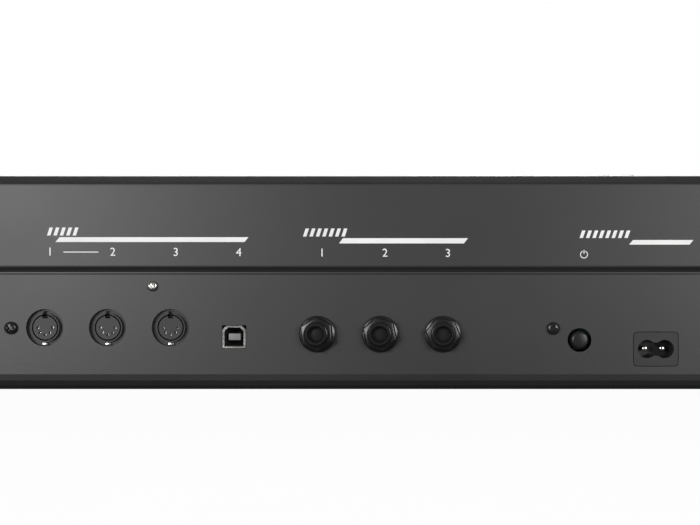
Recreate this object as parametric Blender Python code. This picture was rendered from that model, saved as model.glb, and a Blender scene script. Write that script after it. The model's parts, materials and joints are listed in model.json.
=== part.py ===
"""Single-manual drawbar organ: folded steel case, 61 waterfall keys, drawbars and rear sockets.

Metres, +Z up. The player sits at -Y, the sockets face +Y and the treble end is at +X.
The origin is on the floor under the middle of the case.
"""

import math

import bmesh
import bpy
from mathutils import Matrix, Vector

# Fits
GAP = 0.0003
KEY_GAP = 0.001
SLIDE_GAP = 0.0003

# Case
SHEET = 0.0015
CASE_HEIGHT = 0.105
TOP_PANEL_DEPTH = 0.112
LOWER_WALL_HEIGHT = 0.0576
JOINT_GAP = 0.0016
TOP_BEVEL = 0.0048
REAR_BEND_RADIUS = 0.008
FOLD_RADIUS = 0.0015
FRONT_RAIL_CLEARANCE = 0.0015
FRONT_FLANGE = 0.011
LAP_DEPTH = 0.014
DROP_FLANGE = 0.010
CHEEK_THICKNESS = 0.015
CHEEK_ROUNDING = 0.0015
CHEEK_NOSE_RADIUS = 0.014
CHEEK_OVER_KEYS = 0.008

# Feet
FOOT_HEIGHT = 0.008
FOOT_RADIUS = 0.010
FOOT_INSET_X = 0.035
FOOT_INSET_Y = 0.028

# Keyboard
OCTAVES = 5
NATURAL_PITCH = 0.0235
KEY_SIDE_CLEARANCE = 0.002
KEY_VISIBLE = 0.147
KEY_SETBACK = 0.006
KEY_DROP = 0.023
NATURAL_LIP = 0.020
NATURAL_TAIL_DEPTH = 0.013
NATURAL_NOSE = 0.004
SHARP_LENGTH = 0.094
SHARP_WIDTH = 0.011
SHARP_TOP_WIDTH = 0.009
SHARP_RISE = 0.0115
SHARP_SLOPE = 0.004
KEY_DIP = 0.0105
PIVOT_BEHIND_PANEL = 0.050
PIVOT_BELOW_KEY_TOP = 0.012
ROD_RADIUS = 0.002
SPINE_WIDTH = 0.0075
SPINE_HEIGHT = 0.007
HOOK_WIDTH = 0.004
DROP_WALL_CLEARANCE = 0.003

# Keybed frame and contact board
KEYBED_REAR_LEG = 0.013
KEYBED_FRONT_LEG = 0.0125
KEYBED_TOE_CLEARANCE = 0.009
KEYBED_PLATE_CLEARANCE = 0.013
KEYBED_FOOT = 0.012
EAR_THICKNESS = 0.002
EAR_DEPTH = 0.010
BOARD_THICKNESS = 0.0016
CONTACT_BOARD_DEPTH = 0.040
CONTACT_STRIP_DEPTH = 0.012
CONTACT_STRIP_HEIGHT = 0.004

# Drawbars
DRAWBARS = 9
DRAWBAR_PITCH = 0.014
DRAWBAR_TRAVEL = 0.032
DRAWBAR_X = -0.300
STEM_WIDTH = 0.008
STEM_THICKNESS = 0.005
STEM_TAIL = 0.050
STEM_BELOW_PANEL = 0.0067
KNOB_WIDTH = 0.0124
KNOB_DEPTH = 0.012
KNOB_TOP_DEPTH = 0.009
DRAWBAR_PROUD = 0.0085
WINDOW_MARGIN = 0.002
WINDOW_FRONT = 0.005
RACK_FLOOR = 0.002
RACK_WALL = 0.002
RACK_GUIDE = 0.008

# Controls on the top panel
CONTROL_PROUD = 0.0095
ROTARY_KNOBS = 6
ROTARY_PITCH = 0.040
ROTARY_FIRST_X = 0.140
ROTARY_RADIUS = 0.008
ROTARY_TOP_RADIUS = 0.007
ROTARY_SHAFT_RADIUS = 0.003
ROTARY_SKIRT_GAP = 0.0006
ROTARY_CROWN = 0.0022
POT_SIZE = 0.010
POT_HEIGHT = 0.007
TABS = 6
TAB_PITCH = 0.026
TAB_FIRST_X = -0.070
TAB_WIDTH = 0.016
TAB_DEPTH = 0.009
TAB_PROUD = 0.003
TAB_TRAVEL = 0.0015
TAB_FLANGE = 0.001
TAB_FLANGE_THICKNESS = 0.0015
SWITCH_SIZE = 0.006
CONTROL_ROW = 0.044
PANEL_BOARD_BELOW = 0.0120
PANEL_BOARD_DEPTH = 0.060
PANEL_BOARD_END = 0.012
LEVER_X = -0.400
LEVER_ROW = 0.040
LEVER_DISC_RADIUS = 0.011
LEVER_DISC_HEIGHT = 0.004
LEVER_LENGTH = 0.024
LEVER_WIDTH = 0.007
LEVER_SHAFT_RADIUS = 0.003
LEVER_COLLAR_RADIUS = 0.005
LEVER_COLLAR_HEIGHT = 0.002

# Rear sockets, all on boards at one height
BOARD_TOP_HEIGHT = 0.0204
DIN_FIRST_X = -0.0618
DIN_PITCH = 0.0305
DINS = 3
DIN_HEIGHT = 0.0306
DIN_HOLE_RADIUS = 0.0091
DIN_RING_RADIUS = 0.00705
DIN_GROOVE_RADIUS = 0.00645
DIN_FACE_RADIUS = 0.0058
DIN_GROOVE_DEPTH = 0.006
DIN_RECESS = 0.0004
DIN_BODY_WIDTH = 0.0205
DIN_BODY_DEPTH = 0.0125
DIN_PIN_CIRCLE = 0.0035
DIN_PIN_RADIUS = 0.00075
DIN_NOTCH_WIDTH = 0.0026
DIN_NOTCH_REACH = 0.0080
USB_X = -0.1537
USB_WIDTH = 0.0112
USB_TALL = 0.0108
USB_CAVITY_WIDTH = 0.0093
USB_CAVITY_TALL = 0.0092
USB_TONGUE_WIDTH = 0.0056
USB_TONGUE_TALL = 0.0031
USB_DEPTH = 0.016
USB_CAVITY_DEPTH = 0.009
USB_CORNER = 0.0018
JACK_PROUD = 0.008
JACK_HEIGHT = 0.0275
JACK_PITCH = 0.0305
JACKS = 3
PEDAL_JACK_FIRST_X = -0.1942
AUDIO_JACK_FIRST_X = 0.0460
JACK_FLANGE_RADIUS = 0.0089
JACK_FLANGE_THICKNESS = 0.001
JACK_NUT_RADIUS = 0.0088
JACK_NUT_THICKNESS = 0.0035
JACK_BUSH_RADIUS = 0.00605
JACK_LIP_RADIUS = 0.0053
JACK_LIP_LENGTH = 0.0016
JACK_BORE_RADIUS = 0.0034
JACK_BORE_DEPTH = 0.029
JACK_BODY_WIDTH = 0.0160
JACK_BODY_DEPTH = 0.024
JACK_BODY_TALL = 0.0135
POWER_X = -0.3214
POWER_HEIGHT = 0.0246
POWER_HOLE_RADIUS = 0.00585
POWER_CAP_RADIUS = 0.0045
POWER_CAP_PROUD = 0.0015
POWER_CAP_LENGTH = 0.007
POWER_TRAVEL = 0.003
POWER_STEM = 0.004
POWER_STEM_LENGTH = 0.012
SWITCH_BODY_WIDTH = 0.012
SWITCH_BODY_DEPTH = 0.018
INLET_X = -0.3585
INLET_HEIGHT = 0.0202
INLET_WIDTH = 0.0214
INLET_TALL = 0.0163
INLET_CORNER = 0.0015
INLET_LOBE_RADIUS = 0.0045
INLET_WAIST = 0.0064
INLET_PIN_PITCH = 0.0086
INLET_PIN_RADIUS = 0.0012
INLET_PIN_LENGTH = 0.008
INLET_CAVITY_DEPTH = 0.013
INLET_BODY_DEPTH = 0.018
INLET_BODY_WIDTH = 0.019
INLET_BODY_TALL = 0.0145
MAIN_BOARD_MARGIN = 0.012
MAIN_BOARD_DEPTH = 0.040
POWER_BOARD_END = 0.020
BOARD_EDGE_GAP = 0.0015
POST_RADIUS = 0.003

# Places worked out from the sizes above
NATURALS = 7 * OCTAVES + 1
KEYBOARD_WIDTH = NATURALS * NATURAL_PITCH
INNER_HALF = KEYBOARD_WIDTH / 2 + KEY_SIDE_CLEARANCE
METAL_HALF = INNER_HALF - GAP
CASE_DEPTH = KEY_SETBACK + KEY_VISIBLE + TOP_PANEL_DEPTH
Y_FRONT = -(CASE_DEPTH + JACK_PROUD) / 2
Y_REAR = Y_FRONT + CASE_DEPTH
Y_WALL = Y_REAR - SHEET - GAP
Z_BASE = FOOT_HEIGHT
Z_TOP = Z_BASE + CASE_HEIGHT
Z_FLOOR = Z_BASE + SHEET
Z_UNDER_PANEL = Z_TOP - SHEET - GAP
PANEL_FRONT = Y_REAR - TOP_PANEL_DEPTH
KEY_FRONT = Y_FRONT + KEY_SETBACK
KEY_TOP = Z_TOP - KEY_DROP
SHARP_FRONT = PANEL_FRONT - SHARP_LENGTH
SHARP_TOP = KEY_TOP + SHARP_RISE
PIVOT_Y = PANEL_FRONT + PIVOT_BEHIND_PANEL
PIVOT_Z = KEY_TOP - PIVOT_BELOW_KEY_TOP
PRESSED_LIP = KEY_TOP - NATURAL_LIP - KEY_DIP
RAIL_TOP = PRESSED_LIP - FRONT_RAIL_CLEARANCE
KEYBED_TOE = PRESSED_LIP - KEYBED_TOE_CLEARANCE
KEYBED_PLATE = KEY_TOP - NATURAL_TAIL_DEPTH - KEYBED_PLATE_CLEARANCE
DROP_WALL_FOOT = KEY_TOP + DROP_WALL_CLEARANCE
KEYS_START = -KEYBOARD_WIDTH / 2
OCTAVE_WIDTH = 7 * NATURAL_PITCH
SPINE_INSET = EAR_THICKNESS / 2 + 0.0015
BOARD_TOP = Z_BASE + BOARD_TOP_HEIGHT
USB_Z = BOARD_TOP + GAP + USB_TALL / 2
PANEL_BOARD_TOP = Z_UNDER_PANEL - PANEL_BOARD_BELOW + BOARD_THICKNESS
CONTROL_Y = PANEL_FRONT + CONTROL_ROW
TAB_XS = [TAB_FIRST_X - i * TAB_PITCH for i in range(TABS)]
ROTARY_XS = [ROTARY_FIRST_X + i * ROTARY_PITCH for i in range(ROTARY_KNOBS)]
DRAWBAR_XS = [DRAWBAR_X + (i - (DRAWBARS - 1) / 2) * DRAWBAR_PITCH for i in range(DRAWBARS)]
DIN_XS = [DIN_FIRST_X - i * DIN_PITCH for i in range(DINS)]
PEDAL_JACK_XS = [PEDAL_JACK_FIRST_X - i * JACK_PITCH for i in range(JACKS)]
AUDIO_JACK_XS = [AUDIO_JACK_FIRST_X - i * JACK_PITCH for i in range(JACKS)]
STEM_TOP = Z_UNDER_PANEL - STEM_BELOW_PANEL + STEM_THICKNESS / 2
STEM_BOTTOM = STEM_TOP - STEM_THICKNESS
DRAWBAR_Y = PANEL_FRONT + WINDOW_FRONT + WINDOW_MARGIN + DRAWBAR_TRAVEL + KNOB_DEPTH / 2

# Key pattern in one octave, in natural pitches from the left edge of C
SHARP_CENTRES = [0.9, 2.1, 3.85, 5.0, 6.15]
ROUND = 18
SMALL_ROUND = 10

MATERIALS = {
    "powder_coat": ((0.105, 0.105, 0.108), 0.45, 0.0),
    "walnut": ((0.16, 0.075, 0.035), 0.4, 0.0),
    "rubber": ((0.03, 0.03, 0.03), 0.8, 0.0),
    "steel": ((0.55, 0.56, 0.58), 0.35, 1.0),
    "key_white": ((0.86, 0.84, 0.78), 0.25, 0.0),
    "key_black": ((0.02, 0.02, 0.02), 0.3, 0.0),
    "plastic_black": ((0.025, 0.025, 0.027), 0.35, 0.0),
    "drawbar_brown": ((0.17, 0.06, 0.03), 0.35, 0.0),
    "drawbar_white": ((0.82, 0.80, 0.74), 0.35, 0.0),
    "drawbar_black": ((0.03, 0.03, 0.03), 0.35, 0.0),
    "button_grey": ((0.35, 0.35, 0.36), 0.45, 0.0),
    "nickel": ((0.62, 0.62, 0.60), 0.3, 1.0),
    "circuit_board": ((0.03, 0.16, 0.08), 0.5, 0.0),
}
DRAWBAR_COLOURS = ["brown", "brown", "white", "white", "black", "white", "black", "black", "white"]


def clear_scene():
    """Remove whatever the scene holds."""
    for obj in list(bpy.data.objects):
        bpy.data.objects.remove(obj, do_unlink=True)


def material(name):
    """Return the named finish, made the first time it is asked for."""
    found = bpy.data.materials.get(name)
    if found:
        return found
    colour, roughness, metallic = MATERIALS[name]
    made = bpy.data.materials.new(name)
    made.use_nodes = True
    shader = made.node_tree.nodes["Principled BSDF"]
    shader.inputs["Base Color"].default_value = (*colour, 1.0)
    shader.inputs["Roughness"].default_value = roughness
    shader.inputs["Metallic"].default_value = metallic
    made.diffuse_color = (*colour, 1.0)
    return made


# Outlines
def circle(centre, radius, sides=ROUND, start=0.0):
    """Points round a circle in a plane."""
    angles = [start + 2 * math.pi * i / sides for i in range(sides)]
    return [(centre[0] + radius * math.cos(a), centre[1] + radius * math.sin(a)) for a in angles]


def rectangle(centre, width, height):
    """Corners of a rectangle in a plane."""
    x, y = centre
    w, h = width / 2, height / 2
    return [(x - w, y - h), (x + w, y - h), (x + w, y + h), (x - w, y + h)]


def turn_between(before, corner, after):
    """Directions into and out of a corner, and the signed angle between them."""
    into = (Vector(corner) - Vector(before)).normalized()
    out = (Vector(after) - Vector(corner)).normalized()
    angle = math.atan2(into.x * out.y - into.y * out.x, into.dot(out))
    return into, out, angle


def rounded(points, radii, steps=4):
    """Closed outline with each corner turned into an arc of its own radius."""
    outline = []
    for i, corner in enumerate(points):
        radius = radii[i]
        if radius <= 0:
            outline.append(corner)
            continue
        into, out, angle = turn_between(points[i - 1], corner, points[(i + 1) % len(points)])
        reach = radius * math.tan(abs(angle) / 2)
        start = Vector(corner) - into * reach
        side = math.copysign(1.0, angle)
        centre = start + Vector((-into.y, into.x)) * radius * side
        arm = start - centre
        for step in range(steps + 1):
            turned = Matrix.Rotation(angle * step / steps, 2) @ arm
            outline.append(tuple(centre + turned))
    return outline


def folded(path, radii, steps=3):
    """Outline of a sheet bent along a middle line, with a radius at each inner corner."""
    left, right = [], []
    half = SHEET / 2

    def both_sides(point, direction):
        across = Vector((-direction.y, direction.x)) * half
        left.append(point + across)
        right.append(point - across)

    first = (Vector(path[1]) - Vector(path[0])).normalized()
    both_sides(Vector(path[0]), first)
    for i in range(1, len(path) - 1):
        radius = radii[i - 1]
        into, out, angle = turn_between(path[i - 1], path[i], path[i + 1])
        start = Vector(path[i]) - into * radius * math.tan(abs(angle) / 2)
        centre = start + Vector((-into.y, into.x)) * radius * math.copysign(1.0, angle)
        for step in range(steps + 1):
            spin = Matrix.Rotation(angle * step / steps, 2)
            both_sides(centre + spin @ (start - centre), spin @ into)
    last = (Vector(path[-1]) - Vector(path[-2])).normalized()
    both_sides(Vector(path[-1]), last)
    return [tuple(p) for p in left + right[::-1]]


# Solids, each returned as a bmesh
def prism(outline, axis, start, end):
    """Extrude a flat outline along X, Y or Z."""
    place = {
        "X": lambda u, v, w: (w, u, v),
        "Y": lambda u, v, w: (u, w, v),
        "Z": lambda u, v, w: (u, v, w),
    }[axis]
    bm = bmesh.new()
    face = bm.faces.new([bm.verts.new(place(u, v, start)) for u, v in outline])
    grown = bmesh.ops.extrude_face_region(bm, geom=[face])["geom"]
    shift = Vector(place(0, 0, end)) - Vector(place(0, 0, start))
    moved = [item for item in grown if isinstance(item, bmesh.types.BMVert)]
    bmesh.ops.translate(bm, verts=moved, vec=shift)
    bmesh.ops.recalc_face_normals(bm, faces=bm.faces[:])
    return bm


def block(x0, x1, y0, y1, z0, z1):
    """A box between two corners."""
    return prism([(x0, y0), (x1, y0), (x1, y1), (x0, y1)], "Z", z0, z1)


def rod(centre, radius, axis, start, end, sides=ROUND):
    """A round bar along an axis, its centre given in the plane across it."""
    return prism(circle(centre, radius, sides), axis, start, end)


def turned(profile, axis, centre, sides=ROUND):
    """Spin a closed profile of (radius, height) points round an axis through centre."""
    bm = bmesh.new()
    verts = [bm.verts.new((radius, 0.0, height)) for radius, height in profile]
    edges = [bm.edges.new((verts[i], verts[(i + 1) % len(verts)])) for i in range(len(verts))]
    bmesh.ops.spin(
        bm, geom=verts + edges, cent=(0, 0, 0), axis=(0, 0, 1), angle=2 * math.pi, steps=sides,
        use_merge=True,
    )
    bmesh.ops.remove_doubles(bm, verts=bm.verts[:], dist=1e-6)
    on_axis = [e for e in bm.edges if not e.link_faces]
    bmesh.ops.delete(bm, geom=on_axis, context="EDGES")
    if axis == "Y":
        bmesh.ops.rotate(bm, verts=bm.verts[:], matrix=Matrix.Rotation(-math.pi / 2, 3, "X"))
    bmesh.ops.translate(bm, verts=bm.verts[:], vec=centre)
    bmesh.ops.recalc_face_normals(bm, faces=bm.faces[:])
    return bm


def tapered(low_outline, high_outline, z0, z1):
    """A block whose top outline differs from its bottom outline."""
    bm = bmesh.new()
    low = [bm.verts.new((x, y, z0)) for x, y in low_outline]
    high = [bm.verts.new((x, y, z1)) for x, y in high_outline]
    bm.faces.new(low[::-1])
    bm.faces.new(high)
    for i in range(len(low)):
        j = (i + 1) % len(low)
        bm.faces.new((low[i], low[j], high[j], high[i]))
    bmesh.ops.recalc_face_normals(bm, faces=bm.faces[:])
    return bm


def mesh_of(solids, name):
    """Put several bmesh solids into one mesh."""
    whole = bmesh.new()
    for solid in solids:
        piece = bpy.data.meshes.new("piece")
        solid.to_mesh(piece)
        solid.free()
        whole.from_mesh(piece)
        bpy.data.meshes.remove(piece)
    mesh = bpy.data.meshes.new(name)
    whole.to_mesh(mesh)
    whole.free()
    return mesh


def boolean(obj, solids, operation):
    """Join solids to an object, or cut them from it, and keep the result in its mesh."""
    tool = bpy.data.objects.new("tool", mesh_of(solids, "tool"))
    bpy.context.collection.objects.link(tool)
    step = obj.modifiers.new(operation.lower(), "BOOLEAN")
    step.operation = operation
    step.solver = "EXACT"
    step.use_self = True
    step.object = tool
    graph = bpy.context.evaluated_depsgraph_get()
    result = bpy.data.meshes.new_from_object(obj.evaluated_get(graph))
    obj.modifiers.clear()
    obj.data = result
    bpy.data.objects.remove(tool, do_unlink=True)


def piece(name, finish, base, add=(), cut=()):
    """One named sub-part from a base solid, what joins it and what is cut from it."""
    obj = bpy.data.objects.new(name, mesh_of([base], name))
    bpy.context.collection.objects.link(obj)
    if add:
        boolean(obj, list(add), "UNION")
    if cut:
        boolean(obj, list(cut), "DIFFERENCE")
    obj.data.name = name
    obj.data.materials.clear()
    obj.data.materials.append(material(finish))
    obj.data.shade_smooth()
    obj.data.set_sharp_from_angle(angle=math.radians(32))
    return obj


def set_origin(obj, point):
    """Move an object's origin to a point without moving its mesh."""
    obj.data.transform(Matrix.Translation(-Vector(point)))
    obj.location = point


# Case
def bottom_chassis():
    """Folded tray with the front rail, the floor and the lower rear wall with its socket holes."""
    half = SHEET / 2
    wall_y = Y_REAR - half
    path = [
        (Y_FRONT + FRONT_FLANGE, RAIL_TOP - half),
        (Y_FRONT + half, RAIL_TOP - half),
        (Y_FRONT + half, Z_BASE + half),
        (wall_y, Z_BASE + half),
        (wall_y, Z_BASE + LOWER_WALL_HEIGHT),
    ]
    sheet = prism(folded(path, [FOLD_RADIUS, FOLD_RADIUS, REAR_BEND_RADIUS - half], 4), "X", -METAL_HALF, METAL_HALF)
    near, far = Y_REAR - 3 * SHEET, Y_REAR + SHEET
    cuts = [rod((x, Z_BASE + DIN_HEIGHT), DIN_HOLE_RADIUS, "Y", near, far, 24) for x in DIN_XS]
    cuts += [
        rod((x, Z_BASE + JACK_HEIGHT), JACK_BUSH_RADIUS + GAP, "Y", near, far)
        for x in PEDAL_JACK_XS + AUDIO_JACK_XS
    ]
    cuts.append(rod((POWER_X, Z_BASE + POWER_HEIGHT), POWER_HOLE_RADIUS, "Y", near, far))
    usb_hole = rectangle((USB_X, USB_Z), USB_WIDTH + 2 * GAP, USB_TALL + 2 * GAP)
    cuts.append(prism(usb_hole, "Y", near, far))
    inlet_hole = rectangle((INLET_X, Z_BASE + INLET_HEIGHT), INLET_WIDTH + 2 * GAP, INLET_TALL + 2 * GAP)
    cuts.append(prism(rounded(inlet_hole, [INLET_CORNER + GAP] * 4, 2), "Y", near, far))
    return piece("bottom_chassis", "powder_coat", sheet, cut=cuts)


def top_cover():
    """Folded lid: lap behind the chassis wall, upper rear wall, bevel, top panel and drop wall."""
    half = SHEET / 2
    lap_y = Y_REAR - SHEET - GAP - half
    joggle = Z_BASE + LOWER_WALL_HEIGHT + JOINT_GAP + half
    path = [
        (lap_y, joggle - LAP_DEPTH),
        (lap_y, joggle),
        (Y_REAR - half, joggle),
        (Y_REAR - half, Z_TOP - TOP_BEVEL),
        (Y_REAR - TOP_BEVEL, Z_TOP - half),
        (PANEL_FRONT + half, Z_TOP - half),
        (PANEL_FRONT + half, DROP_WALL_FOOT + half),
        (PANEL_FRONT + DROP_FLANGE, DROP_WALL_FOOT + half),
    ]
    radii = [half, half, FOLD_RADIUS, FOLD_RADIUS, FOLD_RADIUS, FOLD_RADIUS]
    sheet = prism(folded(path, radii), "X", -METAL_HALF, METAL_HALF)
    low, high = Z_TOP - 2 * SHEET, Z_TOP + SHEET
    half_window = drawbar_window_half()
    window_end = DRAWBAR_Y + KNOB_DEPTH / 2 + WINDOW_MARGIN
    cuts = [
        block(DRAWBAR_X - half_window, DRAWBAR_X + half_window, PANEL_FRONT + WINDOW_FRONT, window_end, low, high)
    ]
    for x in ROTARY_XS:
        cuts.append(rod((x, CONTROL_Y), ROTARY_SHAFT_RADIUS + GAP, "Z", low, high, 16))
    for x in TAB_XS:
        hole = rectangle((x, CONTROL_Y), TAB_WIDTH + 2 * SLIDE_GAP, TAB_DEPTH + 2 * SLIDE_GAP)
        cuts.append(prism(hole, "Z", low, high))
    lever_y = PANEL_FRONT + LEVER_ROW
    cuts.append(rod((LEVER_X, lever_y), LEVER_SHAFT_RADIUS + GAP, "Z", low, high, 16))
    return piece("top_cover", "powder_coat", sheet, cut=cuts)


def end_cheeks():
    """Two wooden boards that close the ends and step down beside the keys."""
    step_y = PANEL_FRONT - CHEEK_NOSE_RADIUS
    low_top = KEY_TOP + CHEEK_OVER_KEYS
    points = [
        (Y_FRONT, Z_BASE),
        (Y_REAR, Z_BASE),
        (Y_REAR, Z_TOP),
        (step_y, Z_TOP),
        (step_y - (Z_TOP - low_top), low_top),
        (Y_FRONT, low_top),
    ]
    radii = [CHEEK_ROUNDING, CHEEK_ROUNDING, CHEEK_ROUNDING, CHEEK_NOSE_RADIUS, CHEEK_NOSE_RADIUS, CHEEK_NOSE_RADIUS]
    for name, side in (("left_end_cheek", -1), ("right_end_cheek", 1)):
        inner = side * INNER_HALF
        outer = inner + side * CHEEK_THICKNESS
        board = piece(name, "walnut", prism(rounded(points, radii), "X", min(inner, outer), max(inner, outer)))
        edge = board.modifiers.new("rounding", "BEVEL")
        edge.width = CHEEK_ROUNDING
        edge.segments = 1
        edge.limit_method = "ANGLE"
        edge.angle_limit = math.radians(60)


def feet():
    """Four turned rubber feet with a recess for their screw."""
    shoulder = FOOT_RADIUS - 0.001
    profile = [
        (0.0, FOOT_HEIGHT - GAP),
        (FOOT_RADIUS, FOOT_HEIGHT - GAP),
        (shoulder, 0.0),
        (FOOT_RADIUS / 2, 0.0),
        (FOOT_RADIUS / 2, FOOT_HEIGHT / 3),
        (0.0, FOOT_HEIGHT / 3),
    ]
    x = INNER_HALF + CHEEK_THICKNESS - FOOT_INSET_X
    places = {
        "foot_front_left": (-x, Y_FRONT + FOOT_INSET_Y),
        "foot_front_right": (x, Y_FRONT + FOOT_INSET_Y),
        "foot_rear_left": (-x, Y_REAR - FOOT_INSET_Y),
        "foot_rear_right": (x, Y_REAR - FOOT_INSET_Y),
    }
    for name, (foot_x, foot_y) in places.items():
        piece(name, "rubber", turned(profile, "Z", (foot_x, foot_y, 0.0), 16))


# Keyboard
def octave_starts():
    """X of the left edge of each octave."""
    return [KEYS_START + i * OCTAVE_WIDTH for i in range(OCTAVES)]


def ear_places():
    """X of each bearing ear: the keyboard's ends and the octave boundaries between them."""
    end = SPINE_INSET - EAR_THICKNESS / 2
    inner = [start + OCTAVE_WIDTH for start in octave_starts()]
    return [KEYS_START + end] + inner + [-KEYS_START - end]


def keybed_frame():
    """Pressed steel bridge under the keys, with the ears that hold their rod."""
    half = SHEET / 2
    seat = Z_FLOOR + GAP + half
    front = KEY_FRONT + KEYBED_FRONT_LEG
    rear = PIVOT_Y + KEYBED_REAR_LEG
    step = SHARP_FRONT + KEY_GAP
    toe = KEYBED_TOE
    plate = KEYBED_PLATE
    path = [
        (front + KEYBED_FOOT, seat),
        (front, seat),
        (front, toe),
        (step, toe),
        (step, plate),
        (rear, plate),
        (rear, seat),
        (rear - KEYBED_FOOT, seat),
    ]
    sheet = prism(folded(path, [FOLD_RADIUS] * 6, 2), "X", -METAL_HALF + KEY_GAP, METAL_HALF - KEY_GAP)
    low = plate - half / 2
    high = PIVOT_Z + EAR_DEPTH / 2
    ears = [
        block(x - EAR_THICKNESS / 2, x + EAR_THICKNESS / 2, PIVOT_Y - EAR_DEPTH / 2, PIVOT_Y + EAR_DEPTH / 2, low, high)
        for x in ear_places()
    ]
    hole = rod((PIVOT_Y, PIVOT_Z), ROD_RADIUS + GAP, "X", -INNER_HALF, INNER_HALF, 12)
    return piece("keybed_frame", "steel", sheet, add=ears, cut=[hole])


def key_rod():
    """Steel rod through the ears, on which every key turns."""
    bar = rod((PIVOT_Y, PIVOT_Z), ROD_RADIUS, "X", -METAL_HALF + KEY_GAP, METAL_HALF - KEY_GAP, 12)
    return piece("key_pivot_rod", "steel", bar)


def hook(x, top, bottom, front):
    """A bearing hook over the rod, as a block and the slot to cut from it."""
    reach = ROD_RADIUS + GAP
    rear = PIVOT_Y + reach + KEY_GAP * 1.5
    solid = block(x - HOOK_WIDTH / 2, x + HOOK_WIDTH / 2, front, rear, bottom, top)
    eye = rod((PIVOT_Y, PIVOT_Z), reach, "X", x - HOOK_WIDTH, x + HOOK_WIDTH, 12)
    mouth = block(x - HOOK_WIDTH, x + HOOK_WIDTH, PIVOT_Y - reach, PIVOT_Y + reach, bottom - reach, PIVOT_Z)
    return solid, [eye, mouth]


SPINE_FRONT = PIVOT_Y - ROD_RADIUS - GAP - KEY_GAP * 4 - SPINE_WIDTH
LOW_SPINE_TOP = PIVOT_Z - KEY_GAP / 2
LOW_SPINE_BOTTOM = LOW_SPINE_TOP - SPINE_HEIGHT
HIGH_SPINE_FRONT = SPINE_FRONT - SPINE_WIDTH
HIGH_SPINE_BOTTOM = LOW_SPINE_TOP + KEY_GAP * 3.5
HIGH_SPINE_TOP = HIGH_SPINE_BOTTOM + SPINE_HEIGHT
TAIL_END = HIGH_SPINE_FRONT - KEY_GAP * 2.5


def natural_key(x0, x1, tail_x0, tail_x1):
    """One natural: waterfall head, tail between the sharps, and the drop arm to the spine."""
    nose = NATURAL_NOSE
    z0, z1 = KEY_TOP - NATURAL_LIP, KEY_TOP
    tail_z0 = KEY_TOP - NATURAL_TAIL_DEPTH
    head_end = SHARP_FRONT - KEY_GAP
    side = [
        (KEY_FRONT, z0),
        (head_end, z0),
        (head_end, z1),
        (KEY_FRONT, z1),
    ]
    head = prism(rounded(side, [0, 0, 0, nose], 3), "X", x0, x1)
    lap = KEY_GAP * 2
    tail = block(tail_x0, tail_x1, head_end - lap, TAIL_END, tail_z0, z1)
    arm_inset = KEY_GAP / 2
    arm = block(
        tail_x0 + arm_inset, tail_x1 - arm_inset, TAIL_END - lap, SPINE_FRONT + lap,
        LOW_SPINE_BOTTOM + arm_inset, tail_z0 + lap / 2,
    )
    return [head, tail, arm]


def sharp_spans(start):
    """X spans of the cut-outs that the sharps of one octave need."""
    half = SHARP_WIDTH / 2 + KEY_GAP
    return [(start + c * NATURAL_PITCH - half, start + c * NATURAL_PITCH + half) for c in SHARP_CENTRES]


def natural_octave(index, start):
    """Seven naturals on one spine with three hooks."""
    spans = sharp_spans(start)
    solids = []
    centres = []
    for k in range(7):
        x0 = start + k * NATURAL_PITCH + KEY_GAP / 2
        x1 = x0 + NATURAL_PITCH - KEY_GAP
        tail_x0, tail_x1 = x0, x1
        for low, high in spans:
            if low < x0 < high:
                tail_x0 = high
            if low < x1 < high:
                tail_x1 = low
        solids += natural_key(x0, x1, tail_x0, tail_x1)
        centres.append((tail_x0 + tail_x1) / 2)
    spine = block(
        start + SPINE_INSET, start + OCTAVE_WIDTH - SPINE_INSET, SPINE_FRONT, SPINE_FRONT + SPINE_WIDTH,
        LOW_SPINE_BOTTOM, LOW_SPINE_TOP,
    )
    cuts = []
    for k in (0, 3, 6):
        solid, slot = hook(
            centres[k], PIVOT_Z + ROD_RADIUS + 2 * KEY_GAP, LOW_SPINE_BOTTOM + KEY_GAP / 2, SPINE_FRONT + 2 * KEY_GAP
        )
        solids.append(solid)
        cuts += slot
    obj = piece(f"natural_keys_octave_{index}", "key_white", spine, add=solids, cut=cuts)
    set_origin(obj, (start, PIVOT_Y, PIVOT_Z))


def top_c_key():
    """The last natural, alone on its own hook."""
    start = KEYS_START + OCTAVES * OCTAVE_WIDTH
    x0, x1 = start + KEY_GAP / 2, start + NATURAL_PITCH - KEY_GAP / 2
    spine = block(
        start + SPINE_INSET, start + NATURAL_PITCH - 2 * SPINE_INSET, SPINE_FRONT, SPINE_FRONT + SPINE_WIDTH,
        LOW_SPINE_BOTTOM, LOW_SPINE_TOP,
    )
    solid, slot = hook(
        (x0 + x1) / 2, PIVOT_Z + ROD_RADIUS + 2 * KEY_GAP, LOW_SPINE_BOTTOM + KEY_GAP / 2, SPINE_FRONT + 2 * KEY_GAP
    )
    obj = piece("top_c_key", "key_white", spine, add=natural_key(x0, x1, x0, x1) + [solid], cut=slot)
    set_origin(obj, (start, PIVOT_Y, PIVOT_Z))


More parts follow.
